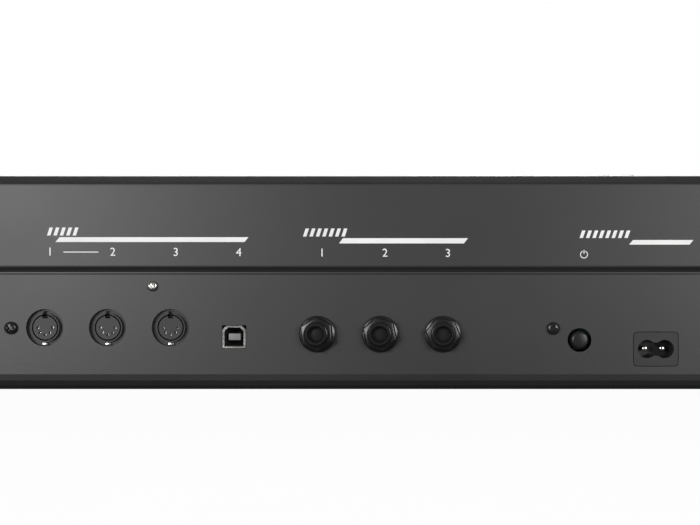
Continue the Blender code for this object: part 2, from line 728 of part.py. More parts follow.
def sharp_octave(index, start):
    """Five sharps on one spine above the naturals' spine, with three hooks."""
    half = SHARP_WIDTH / 2
    half_top = SHARP_TOP_WIDTH / 2
    low = KEY_TOP - NATURAL_TAIL_DEPTH + KEY_GAP
    visible_end = PANEL_FRONT - KEY_GAP
    solids, cuts, centres = [], [], []
    for place in SHARP_CENTRES:
        x = start + place * NATURAL_PITCH
        centres.append(x)
        bottom = [(x - half, SHARP_FRONT), (x + half, SHARP_FRONT), (x + half, visible_end), (x - half, visible_end)]
        top_front = SHARP_FRONT + SHARP_SLOPE
        top = [(x - half_top, top_front), (x + half_top, top_front), (x + half_top, visible_end), (x - half_top, visible_end)]
        solids.append(tapered(bottom, top, KEY_TOP - 2 * KEY_GAP, SHARP_TOP))
        solids.append(
            block(x - half, x + half, SHARP_FRONT, HIGH_SPINE_FRONT - KEY_GAP, low, KEY_TOP - KEY_GAP)
        )
        solids.append(
            block(
                x - half + KEY_GAP, x + half - KEY_GAP, HIGH_SPINE_FRONT - 3 * KEY_GAP, HIGH_SPINE_FRONT + 2 * KEY_GAP,
                HIGH_SPINE_BOTTOM + KEY_GAP / 4, HIGH_SPINE_TOP - KEY_GAP / 2,
            )
        )
    spine = block(
        start + SPINE_INSET, start + OCTAVE_WIDTH - SPINE_INSET, HIGH_SPINE_FRONT, SPINE_FRONT,
        HIGH_SPINE_BOTTOM, HIGH_SPINE_TOP,
    )
    front = PIVOT_Y - ROD_RADIUS - GAP - KEY_GAP * 1.5
    for k in (0, 2, 4):
        x = centres[k]
        solid, slot = hook(x, HIGH_SPINE_TOP - KEY_GAP, PIVOT_Z - ROD_RADIUS - 2 * KEY_GAP, front)
        solids.append(solid)
        solids.append(
            block(
                x - HOOK_WIDTH / 2 + KEY_GAP / 4, x + HOOK_WIDTH / 2 - KEY_GAP / 4, HIGH_SPINE_FRONT + KEY_GAP, PIVOT_Y,
                HIGH_SPINE_BOTTOM + KEY_GAP / 2, HIGH_SPINE_TOP - 1.5 * KEY_GAP,
            )
        )
        cuts += slot
    obj = piece(f"sharp_keys_octave_{index}", "key_black", spine, add=solids, cut=cuts)
    set_origin(obj, (start, PIVOT_Y, PIVOT_Z))


def key_contact_board():
    """Long circuit board on the keybed with the rubber strip that the keys press."""
    low = KEYBED_PLATE + SHEET / 2 + GAP
    high = low + BOARD_THICKNESS
    front = SHARP_FRONT + CONTACT_BOARD_DEPTH
    x = KEYBOARD_WIDTH / 2 - NATURAL_PITCH / 2
    board = block(-x, x, front, front + CONTACT_BOARD_DEPTH, low, high)
    middle = front + CONTACT_BOARD_DEPTH / 2
    strip = block(
        -x + KEY_GAP, x - KEY_GAP, middle - CONTACT_STRIP_DEPTH / 2, middle + CONTACT_STRIP_DEPTH / 2,
        high - BOARD_THICKNESS / 2, high + CONTACT_STRIP_HEIGHT,
    )
    return piece("key_contact_board", "circuit_board", board, add=[strip])


# Drawbars and their rack
def drawbar_window_half():
    """Half the width of the window that the drawbar knobs travel in."""
    return (DRAWBARS - 1) * DRAWBAR_PITCH / 2 + KNOB_WIDTH / 2 + WINDOW_MARGIN


def drawbars():
    """Nine stems with their knobs, all pushed in."""
    for i, x in enumerate(DRAWBAR_XS):
        stem = block(
            x - STEM_WIDTH / 2, x + STEM_WIDTH / 2, DRAWBAR_Y - KNOB_DEPTH / 2 + GAP, DRAWBAR_Y + KNOB_DEPTH / 2 + STEM_TAIL,
            STEM_BOTTOM, STEM_TOP,
        )
        neck = block(
            x - STEM_WIDTH / 2 + GAP, x + STEM_WIDTH / 2 - GAP, DRAWBAR_Y - KNOB_TOP_DEPTH / 2, DRAWBAR_Y + KNOB_TOP_DEPTH / 2,
            STEM_BOTTOM + GAP, STEM_TOP + 2 * KEY_GAP,
        )
        side = [
            (DRAWBAR_Y - KNOB_DEPTH / 2, STEM_TOP + 2 * GAP),
            (DRAWBAR_Y + KNOB_DEPTH / 2, STEM_TOP + 2 * GAP),
            (DRAWBAR_Y + KNOB_TOP_DEPTH / 2, Z_TOP + DRAWBAR_PROUD),
            (DRAWBAR_Y - KNOB_TOP_DEPTH / 2, Z_TOP + DRAWBAR_PROUD),
        ]
        outline = rounded(side, [KEY_GAP / 2, KEY_GAP / 2, 2 * KEY_GAP, 2 * KEY_GAP], 2)
        knob = prism(outline, "X", x - KNOB_WIDTH / 2, x + KNOB_WIDTH / 2)
        obj = piece(f"drawbar_{i + 1}", f"drawbar_{DRAWBAR_COLOURS[i]}", stem, add=[neck, knob])
        set_origin(obj, (x, DRAWBAR_Y, STEM_TOP))


def drawbar_rack():
    """Grooved tray under the window, with the guide bar that keeps the stems down."""
    half = drawbar_window_half() + WINDOW_MARGIN + RACK_WALL
    floor_top = STEM_BOTTOM - GAP
    front = PANEL_FRONT + SHEET + 2 * GAP
    rear = DRAWBAR_Y + KNOB_DEPTH / 2 + STEM_TAIL + RACK_WALL
    groove_depth = STEM_THICKNESS * 0.8
    tray = block(DRAWBAR_X - half, DRAWBAR_X + half, front, rear, floor_top - RACK_FLOOR, floor_top + groove_depth)
    walls = [
        block(
            DRAWBAR_X + side * half - RACK_WALL / 2 - side * RACK_WALL / 2,
            DRAWBAR_X + side * half + RACK_WALL / 2 - side * RACK_WALL / 2,
            front, rear, floor_top - RACK_FLOOR / 2, Z_UNDER_PANEL,
        )
        for side in (-1, 1)
    ]
    guide_y = DRAWBAR_Y + KNOB_DEPTH / 2 + 2 * WINDOW_MARGIN
    guide = block(
        DRAWBAR_X - half + RACK_WALL / 2, DRAWBAR_X + half - RACK_WALL / 2, guide_y, guide_y + RACK_GUIDE,
        floor_top + groove_depth / 2, Z_UNDER_PANEL,
    )
    slots = [
        block(
            x - STEM_WIDTH / 2 - SLIDE_GAP, x + STEM_WIDTH / 2 + SLIDE_GAP, front - RACK_WALL, rear + RACK_WALL,
            floor_top, STEM_TOP + SLIDE_GAP,
        )
        for x in DRAWBAR_XS
    ]
    return piece("drawbar_rack", "plastic_black", tray, add=walls + [guide], cut=slots)


# Controls
def rotary_speed_lever():
    """Half-moon switch: disc with a handle, a shaft through the panel and a collar below it."""
    y = PANEL_FRONT + LEVER_ROW
    low = Z_TOP + GAP
    collar_top = Z_UNDER_PANEL
    profile = [
        (0.0, low + LEVER_DISC_HEIGHT),
        (LEVER_DISC_RADIUS - KEY_GAP, low + LEVER_DISC_HEIGHT),
        (LEVER_DISC_RADIUS, low + LEVER_DISC_HEIGHT - KEY_GAP),
        (LEVER_DISC_RADIUS, low),
        (LEVER_SHAFT_RADIUS, low),
        (LEVER_SHAFT_RADIUS, collar_top),
        (LEVER_COLLAR_RADIUS, collar_top),
        (LEVER_COLLAR_RADIUS, collar_top - LEVER_COLLAR_HEIGHT),
        (0.0, collar_top - LEVER_COLLAR_HEIGHT),
    ]
    body = turned(profile, "Z", (LEVER_X, y, 0.0), 24)
    handle_low = [
        (LEVER_X - LEVER_WIDTH / 2, y - LEVER_LENGTH),
        (LEVER_X + LEVER_WIDTH / 2, y - LEVER_LENGTH),
        (LEVER_X + LEVER_WIDTH / 2, y + LEVER_WIDTH / 2),
        (LEVER_X - LEVER_WIDTH / 2, y + LEVER_WIDTH / 2),
    ]
    outline = rounded(handle_low, [LEVER_WIDTH / 3] * 4, 3)
    handle = prism(outline, "Z", low + KEY_GAP, Z_TOP + DRAWBAR_PROUD)
    obj = piece("rotary_speed_lever", "plastic_black", body, add=[handle])
    set_origin(obj, (LEVER_X, y, Z_TOP))


def rotary_knobs():
    """Six turning knobs, each hollow for its shaft."""
    low = Z_TOP + ROTARY_SKIRT_GAP
    high = Z_TOP + CONTROL_PROUD
    hole = ROTARY_SHAFT_RADIUS + GAP
    profile = [
        (0.0, high),
        (ROTARY_TOP_RADIUS - KEY_GAP, high),
        (ROTARY_TOP_RADIUS, high - KEY_GAP),
        (ROTARY_RADIUS, low),
        (hole, low),
        (hole, high - ROTARY_CROWN),
        (0.0, high - ROTARY_CROWN),
    ]
    for i, x in enumerate(ROTARY_XS):
        obj = piece(f"rotary_knob_{i + 1}", "plastic_black", turned(profile, "Z", (x, CONTROL_Y, 0.0), 18))
        set_origin(obj, (x, CONTROL_Y, Z_TOP))


def tab_buttons():
    """Six push tabs held under the panel by a flange, each over its switch."""
    for i, x in enumerate(TAB_XS):
        flange_low = Z_UNDER_PANEL - TAB_FLANGE_THICKNESS
        flange = prism(
            rectangle((x, CONTROL_Y), TAB_WIDTH + 2 * TAB_FLANGE, TAB_DEPTH + 2 * TAB_FLANGE),
            "Z", flange_low, Z_UNDER_PANEL,
        )
        low_outline = rectangle((x, CONTROL_Y), TAB_WIDTH, TAB_DEPTH)
        high_outline = rectangle((x, CONTROL_Y), TAB_WIDTH - 2 * KEY_GAP, TAB_DEPTH - 2 * KEY_GAP)
        stem = prism(low_outline, "Z", flange_low + TAB_FLANGE_THICKNESS / 2, Z_TOP + TAB_PROUD - KEY_GAP)
        crown = tapered(low_outline, high_outline, Z_TOP + TAB_PROUD - 1.5 * KEY_GAP, Z_TOP + TAB_PROUD)
        obj = piece(f"tab_button_{i + 1}", "button_grey", flange, add=[stem, crown])
        set_origin(obj, (x, CONTROL_Y, Z_TOP))


def panel_board():
    """Circuit board hung under the panel, with the potentiometers and the tab switches."""
    low = PANEL_BOARD_TOP - BOARD_THICKNESS
    x0 = TAB_XS[-1] - TAB_WIDTH / 2 - PANEL_BOARD_END
    x1 = ROTARY_XS[-1] + ROTARY_RADIUS + PANEL_BOARD_END
    y0 = CONTROL_Y - PANEL_BOARD_DEPTH / 2
    y1 = CONTROL_Y + PANEL_BOARD_DEPTH / 2
    board = block(x0, x1, y0, y1, low, PANEL_BOARD_TOP)
    root = PANEL_BOARD_TOP - BOARD_THICKNESS / 2
    solids = []
    shaft_top = Z_TOP + CONTROL_PROUD - ROTARY_CROWN - GAP
    for x in ROTARY_XS:
        can = rectangle((x, CONTROL_Y), POT_SIZE, POT_SIZE)
        solids.append(prism(can, "Z", root, PANEL_BOARD_TOP + POT_HEIGHT))
        solids.append(rod((x, CONTROL_Y), ROTARY_SHAFT_RADIUS, "Z", PANEL_BOARD_TOP + POT_HEIGHT / 2, shaft_top, 16))
    switch_top = Z_UNDER_PANEL - TAB_FLANGE_THICKNESS - TAB_TRAVEL - GAP
    for x in TAB_XS:
        solids.append(prism(rectangle((x, CONTROL_Y), SWITCH_SIZE, SWITCH_SIZE), "Z", root, switch_top))
    posts = [x0 + PANEL_BOARD_END / 2, (TAB_XS[0] + ROTARY_XS[0]) / 2, x1 - PANEL_BOARD_END / 2]
    for x in posts:
        for y in (y0 + PANEL_BOARD_END / 2, y1 - PANEL_BOARD_END / 2):
            solids.append(rod((x, y), POST_RADIUS, "Z", root, Z_UNDER_PANEL, SMALL_ROUND))
    return piece("panel_board", "circuit_board", board, add=solids)


# Rear sockets
def din_sockets():
    """Three round five-pin sockets, each behind its hole."""
    z = Z_BASE + DIN_HEIGHT
    face = Y_REAR - DIN_RECESS
    for i, x in enumerate(DIN_XS):
        bottom = BOARD_TOP + GAP
        width = DIN_BODY_WIDTH / 2
        body = block(x - width, x + width, Y_WALL - DIN_BODY_DEPTH, Y_WALL, bottom, 2 * z - bottom)
        ring = rod((x, z), DIN_RING_RADIUS, "Y", Y_WALL - SHEET, face, 24)
        cuts = [
            turned(
                [
                    (DIN_FACE_RADIUS, -DIN_GROOVE_DEPTH),
                    (DIN_GROOVE_RADIUS, -DIN_GROOVE_DEPTH),
                    (DIN_GROOVE_RADIUS, SHEET),
                    (DIN_FACE_RADIUS, SHEET),
                ],
                "Y", (x, face, z), 24,
            )
        ]
        for k in range(5):
            angle = math.radians(180 + 45 * k)
            pin = (x + DIN_PIN_CIRCLE * math.cos(angle), z + DIN_PIN_CIRCLE * math.sin(angle))
            cuts.append(rod(pin, DIN_PIN_RADIUS, "Y", face - DIN_GROOVE_DEPTH, face + SHEET, 6))
        notch = DIN_NOTCH_WIDTH / 2
        cuts.append(
            block(
                x - notch, x + notch, face - DIN_GROOVE_DEPTH / 2, face + SHEET,
                z + DIN_FACE_RADIUS - DIN_NOTCH_WIDTH / 2, z + DIN_NOTCH_REACH,
            )
        )
        piece(f"din_socket_{i + 1}", "plastic_black", body, add=[ring], cut=cuts)


def usb_socket():
    """Square metal shell with the contact tongue in its cavity."""
    centre = (USB_X, USB_Z)
    shell = rectangle(centre, USB_WIDTH, USB_TALL)
    inner = rectangle(centre, USB_CAVITY_WIDTH, USB_CAVITY_TALL)
    body = prism(rounded(shell, [0, 0, USB_CORNER, USB_CORNER], 1), "Y", Y_REAR - USB_DEPTH, Y_REAR)
    cavity = prism(
        rounded(inner, [0, 0, USB_CORNER, USB_CORNER], 1), "Y", Y_REAR - USB_CAVITY_DEPTH, Y_REAR + SHEET
    )
    obj = piece("usb_socket", "nickel", body, cut=[cavity])
    tongue = prism(
        rectangle(centre, USB_TONGUE_WIDTH, USB_TONGUE_TALL), "Y", Y_REAR - USB_CAVITY_DEPTH - SHEET, Y_REAR - SHEET
    )
    boolean(obj, [tongue], "UNION")
    return obj


def jacks():
    """Quarter-inch jacks: housing behind the wall, flange, hex nut and threaded bush outside."""
    z = Z_BASE + JACK_HEIGHT
    tip = Y_REAR + JACK_PROUD
    seat = Y_REAR + GAP
    nut_end = seat + JACK_FLANGE_THICKNESS + JACK_NUT_THICKNESS
    places = [(f"pedal_jack_{i + 1}", x) for i, x in enumerate(PEDAL_JACK_XS)]
    places += [(f"audio_jack_{i + 1}", x) for i, x in enumerate(AUDIO_JACK_XS)]
    for name, x in places:
        width = JACK_BODY_WIDTH / 2
        bottom = BOARD_TOP + GAP
        body = block(x - width, x + width, Y_WALL - JACK_BODY_DEPTH, Y_WALL, bottom, bottom + JACK_BODY_TALL)
        outside = [
            rod((x, z), JACK_BUSH_RADIUS, "Y", Y_WALL - SHEET, tip - JACK_LIP_LENGTH),
            rod((x, z), JACK_LIP_RADIUS, "Y", seat, tip),
            rod((x, z), JACK_FLANGE_RADIUS, "Y", seat, seat + JACK_FLANGE_THICKNESS),
            rod((x, z), JACK_NUT_RADIUS, "Y", seat + JACK_FLANGE_THICKNESS / 2, nut_end, 6),
        ]
        bore = rod((x, z), JACK_BORE_RADIUS, "Y", tip - JACK_BORE_DEPTH, tip + SHEET, 12)
        piece(name, "plastic_black", body, add=outside, cut=[bore])


def power_button():
    """Round cap on a square stem that slides in the switch behind it."""
    z = Z_BASE + POWER_HEIGHT
    top = Y_REAR + POWER_CAP_PROUD
    bottom = top - POWER_CAP_LENGTH
    dome = KEY_GAP
    profile = [
        (0.0, top),
        (POWER_CAP_RADIUS - dome, top),
        (POWER_CAP_RADIUS, top - dome),
        (POWER_CAP_RADIUS, bottom),
        (0.0, bottom),
    ]
    cap = turned([(r, h - Y_REAR) for r, h in profile], "Y", (POWER_X, Y_REAR, z))
    stem = prism(
        rectangle((POWER_X, z), POWER_STEM, POWER_STEM), "Y", bottom - POWER_STEM_LENGTH, bottom + KEY_GAP
    )
    obj = piece("power_button", "plastic_black", cap, add=[stem])
    set_origin(obj, (POWER_X, Y_REAR, z))


def mains_inlet():
    """Two-pole inlet: frame through the wall, body behind it, cavity with two pins."""
    z = Z_BASE + INLET_HEIGHT
    centre = (INLET_X, z)
    frame = rounded(rectangle(centre, INLET_WIDTH, INLET_TALL), [INLET_CORNER] * 4, 2)
    front = prism(frame, "Y", Y_WALL - SHEET, Y_REAR)
    body = prism(rectangle(centre, INLET_BODY_WIDTH, INLET_BODY_TALL), "Y", Y_REAR - INLET_BODY_DEPTH, Y_WALL)
    back, mouth = Y_REAR - INLET_CAVITY_DEPTH, Y_REAR + SHEET
    pin_xs = [INLET_X + side * INLET_PIN_PITCH / 2 for side in (-1, 1)]
    cavity = [rod((x, z), INLET_LOBE_RADIUS, "Y", back, mouth, 16) for x in pin_xs]
    cavity.append(prism(rectangle(centre, INLET_PIN_PITCH, INLET_WAIST), "Y", back, mouth))
    obj = piece("mains_inlet", "plastic_black", front, add=[body], cut=cavity)
    pin_end = back + INLET_PIN_LENGTH
    pins = [rod((x, z), INLET_PIN_RADIUS, "Y", back - SHEET, pin_end, SMALL_ROUND) for x in pin_xs]
    boolean(obj, pins, "UNION")
    return obj


# Boards in the case
def main_board():
    """Sound board under the data, pedal and audio sockets, on posts."""
    x0 = PEDAL_JACK_XS[-1] - MAIN_BOARD_MARGIN
    x1 = AUDIO_JACK_XS[0] + MAIN_BOARD_MARGIN
    y1 = Y_WALL - BOARD_EDGE_GAP
    y0 = y1 - MAIN_BOARD_DEPTH
    low = BOARD_TOP - BOARD_THICKNESS
    board = block(x0, x1, y0, y1, low, BOARD_TOP)
    solids = []
    for x in (x0 + POST_RADIUS * 2, (x0 + x1) / 2, x1 - POST_RADIUS * 2):
        for y in (y0 + POST_RADIUS * 2, y1 - REAR_BEND_RADIUS - POST_RADIUS):
            solids.append(rod((x, y), POST_RADIUS, "Z", Z_FLOOR + GAP, low + BOARD_THICKNESS / 2, SMALL_ROUND))
    return piece("main_board", "circuit_board", board, add=solids)


def power_supply_board():
    """Board beside the mains inlet with the transformer and the power switch's body."""
    x0 = INLET_X - POWER_BOARD_END
    x1 = POWER_X + POWER_BOARD_END
    low = BOARD_TOP - BOARD_THICKNESS
    inlet_back = Y_REAR - INLET_BODY_DEPTH - KEY_GAP
    z = Z_BASE + POWER_HEIGHT
    switch_front = Y_REAR + POWER_CAP_PROUD - POWER_CAP_LENGTH - POWER_TRAVEL - KEY_GAP
    y1 = inlet_back
    y0 = y1 - MAIN_BOARD_DEPTH + INLET_BODY_DEPTH
    board = block(x0, x1, y0, y1, low, BOARD_TOP)
    solids = []
    for x in (x0 + POST_RADIUS * 2, x1 - POST_RADIUS * 2):
        solids.append(
            rod((x, (y0 + y1) / 2), POST_RADIUS, "Z", Z_FLOOR + GAP, low + BOARD_THICKNESS / 2, SMALL_ROUND)
        )
    half = SWITCH_BODY_WIDTH / 2
    solids.append(
        block(
            POWER_X - half, POWER_X + half, switch_front - SWITCH_BODY_DEPTH, switch_front,
            BOARD_TOP - BOARD_THICKNESS / 2, z + half,
        )
    )
    transformer = 2 * POWER_BOARD_END - KEY_GAP * 8
    solids.append(
        block(x0 + KEY_GAP, x0 + transformer, y0 + KEY_GAP, y1 - KEY_GAP, BOARD_TOP - BOARD_THICKNESS / 2, BOARD_TOP + SWITCH_BODY_DEPTH)
    )
    bore = prism(
        rectangle((POWER_X, z), POWER_STEM + 2 * SLIDE_GAP, POWER_STEM + 2 * SLIDE_GAP), "Y",
        switch_front - POWER_STEM_LENGTH - POWER_TRAVEL, switch_front + SHEET,
    )
    return piece("power_supply_board", "circuit_board", board, add=solids, cut=[bore])


def main():
    """Build every sub-part."""
    clear_scene()
    bottom_chassis()
    top_cover()
    end_cheeks()
    feet()
    keybed_frame()
    key_rod()
    key_contact_board()
    for index, start in enumerate(octave_starts(), 1):
        natural_octave(index, start)
        sharp_octave(index, start)
    top_c_key()
    drawbars()
    drawbar_rack()
    rotary_speed_lever()
    rotary_knobs()
    tab_buttons()
    panel_board()
    din_sockets()
    usb_socket()
    jacks()
    power_button()
    mains_inlet()
    main_board()
    power_supply_board()


main()
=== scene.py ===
"""Looks of a drawbar organ: finishes, keys, panel controls, rear sockets and printed marks."""

from __future__ import annotations

import json
import logging
import math
from contextlib import contextmanager
from dataclasses import dataclass
from enum import Enum
from typing import Any, Iterator, Sequence

import bpy
from mathutils import Matrix, Vector

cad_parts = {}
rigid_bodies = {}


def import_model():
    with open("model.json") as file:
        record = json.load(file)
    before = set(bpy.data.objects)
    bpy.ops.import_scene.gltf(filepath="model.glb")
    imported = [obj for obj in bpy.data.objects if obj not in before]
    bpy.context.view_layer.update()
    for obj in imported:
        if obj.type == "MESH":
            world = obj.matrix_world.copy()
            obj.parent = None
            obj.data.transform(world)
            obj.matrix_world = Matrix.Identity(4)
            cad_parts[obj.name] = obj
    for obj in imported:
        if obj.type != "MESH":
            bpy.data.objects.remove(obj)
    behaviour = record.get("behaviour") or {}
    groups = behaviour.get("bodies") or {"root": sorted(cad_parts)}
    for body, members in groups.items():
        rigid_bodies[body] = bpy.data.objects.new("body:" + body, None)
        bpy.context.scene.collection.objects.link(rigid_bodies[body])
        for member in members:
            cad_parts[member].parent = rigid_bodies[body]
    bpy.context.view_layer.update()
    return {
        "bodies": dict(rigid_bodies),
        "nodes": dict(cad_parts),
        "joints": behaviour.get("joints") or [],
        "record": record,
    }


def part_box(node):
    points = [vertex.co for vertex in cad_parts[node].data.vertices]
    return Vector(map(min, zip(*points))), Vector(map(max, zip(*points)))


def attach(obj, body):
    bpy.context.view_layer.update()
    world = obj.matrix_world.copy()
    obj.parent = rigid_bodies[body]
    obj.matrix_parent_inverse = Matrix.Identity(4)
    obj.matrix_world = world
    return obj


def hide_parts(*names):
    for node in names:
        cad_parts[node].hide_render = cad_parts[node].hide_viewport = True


log = logging.getLogger("drawbar_organ")

Pair = tuple[float, float]
Triple = tuple[float, float, float]
Row = tuple[float, ...]
Box = tuple[Row, Row]
Profile = Sequence[Row]
Stops = Sequence[tuple[float, Sequence[float]]]
Thing = bpy.types.Object

CASE = "case"
SLOTS = (
    "powder_coat", "walnut", "rubber", "steel", "key_white", "key_black", "plastic_black", "drawbar_brown",
    "drawbar_white", "drawbar_black", "button_grey", "nickel", "circuit_board",
)
MM = 0.001
QUARTER_TURN = math.pi / 2


class Axis(Enum):
    """Way that a turned piece points."""

    BACK = "back"
    UP = "up"


class Ink(Enum):
    """Colours of the printed marks."""

    WHITE = (0.93, 0.93, 0.92)
    BLACK = (0.012, 0.012, 0.012)


class BarColour(Enum):
    """Finishes of the drawbars."""

    BROWN = "drawbar_brown"
    WHITE = "drawbar_white"
    BLACK = "drawbar_black"


def mm(*values: float) -> Row:
    """Millimetres as metres."""
    return tuple(value * MM for value in values)


def shifted(place: Sequence[float], offset: Sequence[float]) -> Row:
    """Place moved by an offset."""
    return tuple(a + b for a, b in zip(place, offset))


class Value:
    """A shader socket that can be used in sums."""

    def __init__(self, tree: Graph, socket: Any) -> None:
        """Wrap one socket of a node tree."""
        self.tree = tree
        self.socket = socket

    def _math(self, operation: str, first: Any, second: Any) -> Value:
        """Output of a new Math node."""
        return self.tree.node("ShaderNodeMath", {"operation": operation}, {0: first, 1: second})

    def __add__(self, other: Any) -> Value:
        """Sum."""
        return self._math("ADD", self, other)

    __radd__ = __add__

    def __mul__(self, other: Any) -> Value:
        """Product."""
        return self._math("MULTIPLY", self, other)

    __rmul__ = __mul__

    def __sub__(self, other: Any) -> Value:
        """Difference."""
        return self._math("SUBTRACT", self, other)

    def __rsub__(self, other: Any) -> Value:
        """Difference from a number."""
        return self._math("SUBTRACT", other, self)

    def __gt__(self, other: Any) -> Value:
        """One where this is greater, else nothing."""
        return self._math("GREATER_THAN", self, other)

    def __lt__(self, other: Any) -> Value:
        """One where this is less, else nothing."""
        return self._math("LESS_THAN", self, other)


class Graph:
    """Node tree of one material."""

    def __init__(self, name: str) -> None:
        """Start a material with its Principled shader.

        Args:
            name: the material's name.
        """
        self.material = bpy.data.materials.new(name)
        self.material.use_nodes = True
        self.nodes = self.material.node_tree.nodes
        self.links = self.material.node_tree.links
        self.shader = self.nodes["Principled BSDF"]

    def node(
        self,
        kind: str,
        settings: dict[str, Any] | None = None,
        inputs: dict[Any, Any] | None = None,
        output: Any = 0,
    ) -> Value:
        """Add a node.

        Args:
            kind: the node's type.
            settings: its properties, set first; "stops" are a ramp's stops.
            inputs: values or links of its sockets; None leaves a socket alone.
            output: the output socket to return.

        Returns:
            The wanted output.
        """
        made = self.nodes.new(kind)
        for key, value in (settings or {}).items():
            if key == "stops":
                self._stops(made.color_ramp, value)
            else:
                setattr(made, key, value)
        for key, value in (inputs or {}).items():
            if isinstance(value, Value):
                self.links.new(value.socket, made.inputs[key])
            elif value is not None:
                made.inputs[key].default_value = value
        return Value(self, made.outputs[output])

    @staticmethod
    def _stops(ramp: Any, stops: Stops) -> None:
        """Set a ramp's stops.

        Args:
            ramp: the node's colour ramp.
            stops: (place, colour) pairs.
        """
        while len(ramp.elements) < len(stops):
            ramp.elements.new(0.5)
        for element, (place, colour) in zip(ramp.elements, stops):
            element.position = place
            element.color = (*colour, 1.0)

    def place(self, scale: Triple = (1, 1, 1)) -> Value:
        """Object coordinates, stretched by a scale."""
        coords = self.node("ShaderNodeTexCoord", output="Object")
        return self.node("ShaderNodeMapping", inputs={"Vector": coords, "Scale": tuple(scale)})

    def noise(self, scale: float, detail: float = 2.0, stretch: Triple = (1, 1, 1)) -> Value:
        """Noise of a scale per metre."""
        inputs = {"Vector": self.place(stretch), "Scale": scale, "Detail": detail}
        return self.node("ShaderNodeTexNoise", inputs=inputs)

    def ramp(self, factor: Value, stops: Stops) -> Value:
        """Colour ramp over a factor."""
        return self.node("ShaderNodeValToRGB", {"stops": stops}, {"Fac": factor})

    def bump(self, height: Value, distance: float, strength: float, under: Value | None = None) -> Value:
        """Bump from a height, over another normal where one is given."""
        inputs = {"Height": height, "Distance": distance, "Strength": strength, "Normal": under}
        return self.node("ShaderNodeBump", inputs=inputs)

    def feed(self, **sockets: Any) -> None:
        """Set or link sockets of the Principled shader.

        Args:
            sockets: values by the sockets' names, with underscores for spaces.
        """
        for key, value in sockets.items():
            socket = self.shader.inputs[key.replace("_", " ")]
            if isinstance(value, Value):
                self.links.new(value.socket, socket)
            else:
                socket.default_value = value


@dataclass(frozen=True)
class Finish:
    """Moulded or painted surface; grain and blotch are how fine its texture and patches are, per metre."""

    name: str
    colour: Triple
    roughness: float = 0.4
    coat: float = 0.0
    grain: float = 1800.0
    grain_depth: float = 0.02 * MM
    blotch: float = 40.0
    spread: float = 0.12
    specular: float = 0.5
    patch_detail: float = 3.0
    patch_gloss: float = 0.16
    patch_edges: Pair = (0.35, 0.65)
    grain_strength: float = 0.6
    coat_roughness: float = 0.08

    def stops(self, edges: Sequence[float], tones: Sequence[float]) -> Stops:
        """Ramp stops of the colour made darker or lighter by tones."""
        return [(edge, tuple(channel * tone for channel in self.colour)) for edge, tone in zip(edges, tones)]

    def build(self) -> bpy.types.Material:
        """Make the material.

        Returns:
            The material.
        """
        graph = Graph(self.name)
        patches = graph.noise(self.blotch, self.patch_detail)
        graph.feed(
            Base_Color=graph.ramp(patches, self.stops(self.patch_edges, (1 - self.spread, 1 + self.spread))),
            Roughness=self.roughness + (patches - 0.5) * self.patch_gloss,
            Normal=graph.bump(graph.noise(self.grain), self.grain_depth, self.grain_strength),
            Specular_IOR_Level=self.specular,
        )
        if self.coat:
            graph.feed(Coat_Weight=self.coat, Coat_Roughness=self.coat_roughness)
        return graph.material


@dataclass(frozen=True)
class PowderCoat(Finish):
    """Fine-textured powder coat: low orange peel with tiny brighter grains."""

    peel_scale: float = 900.0
    grit_scale: float = 2600.0
    wear_scale: float = 14.0
    grain_level: float = 0.66
    grain_weight: float = 0.07
    tone_edges: Pair = (0.36, 0.66)
    tones: Pair = (0.88, 1.2)
    wear_gloss: float = 0.08
    grit_gloss: float = 0.2
    peel_depth: float = 0.05 * MM
    grit_depth: float = 0.03 * MM
    texture_strength: float = 0.5

    def build(self) -> bpy.types.Material:
        """Make the material.

        Returns:
            The material.
        """
        graph = Graph(self.name)
        peel = graph.noise(self.peel_scale, 3.0)
        grit = graph.noise(self.grit_scale)
        wear = graph.noise(self.wear_scale, 4.0)
        grains = (grit > self.grain_level) * self.grain_weight
        under = graph.bump(peel, self.peel_depth, self.texture_strength)
        gloss = (wear - 0.5) * self.wear_gloss + (grit - 0.5) * self.grit_gloss
        graph.feed(
            Base_Color=graph.ramp(wear * 0.5 + grit * 0.5 + grains, self.stops(self.tone_edges, self.tones)),
            Roughness=self.roughness + gloss,
            Normal=graph.bump(grit, self.grit_depth, self.texture_strength, under),
            Specular_IOR_Level=self.specular,
        )
        return graph.material


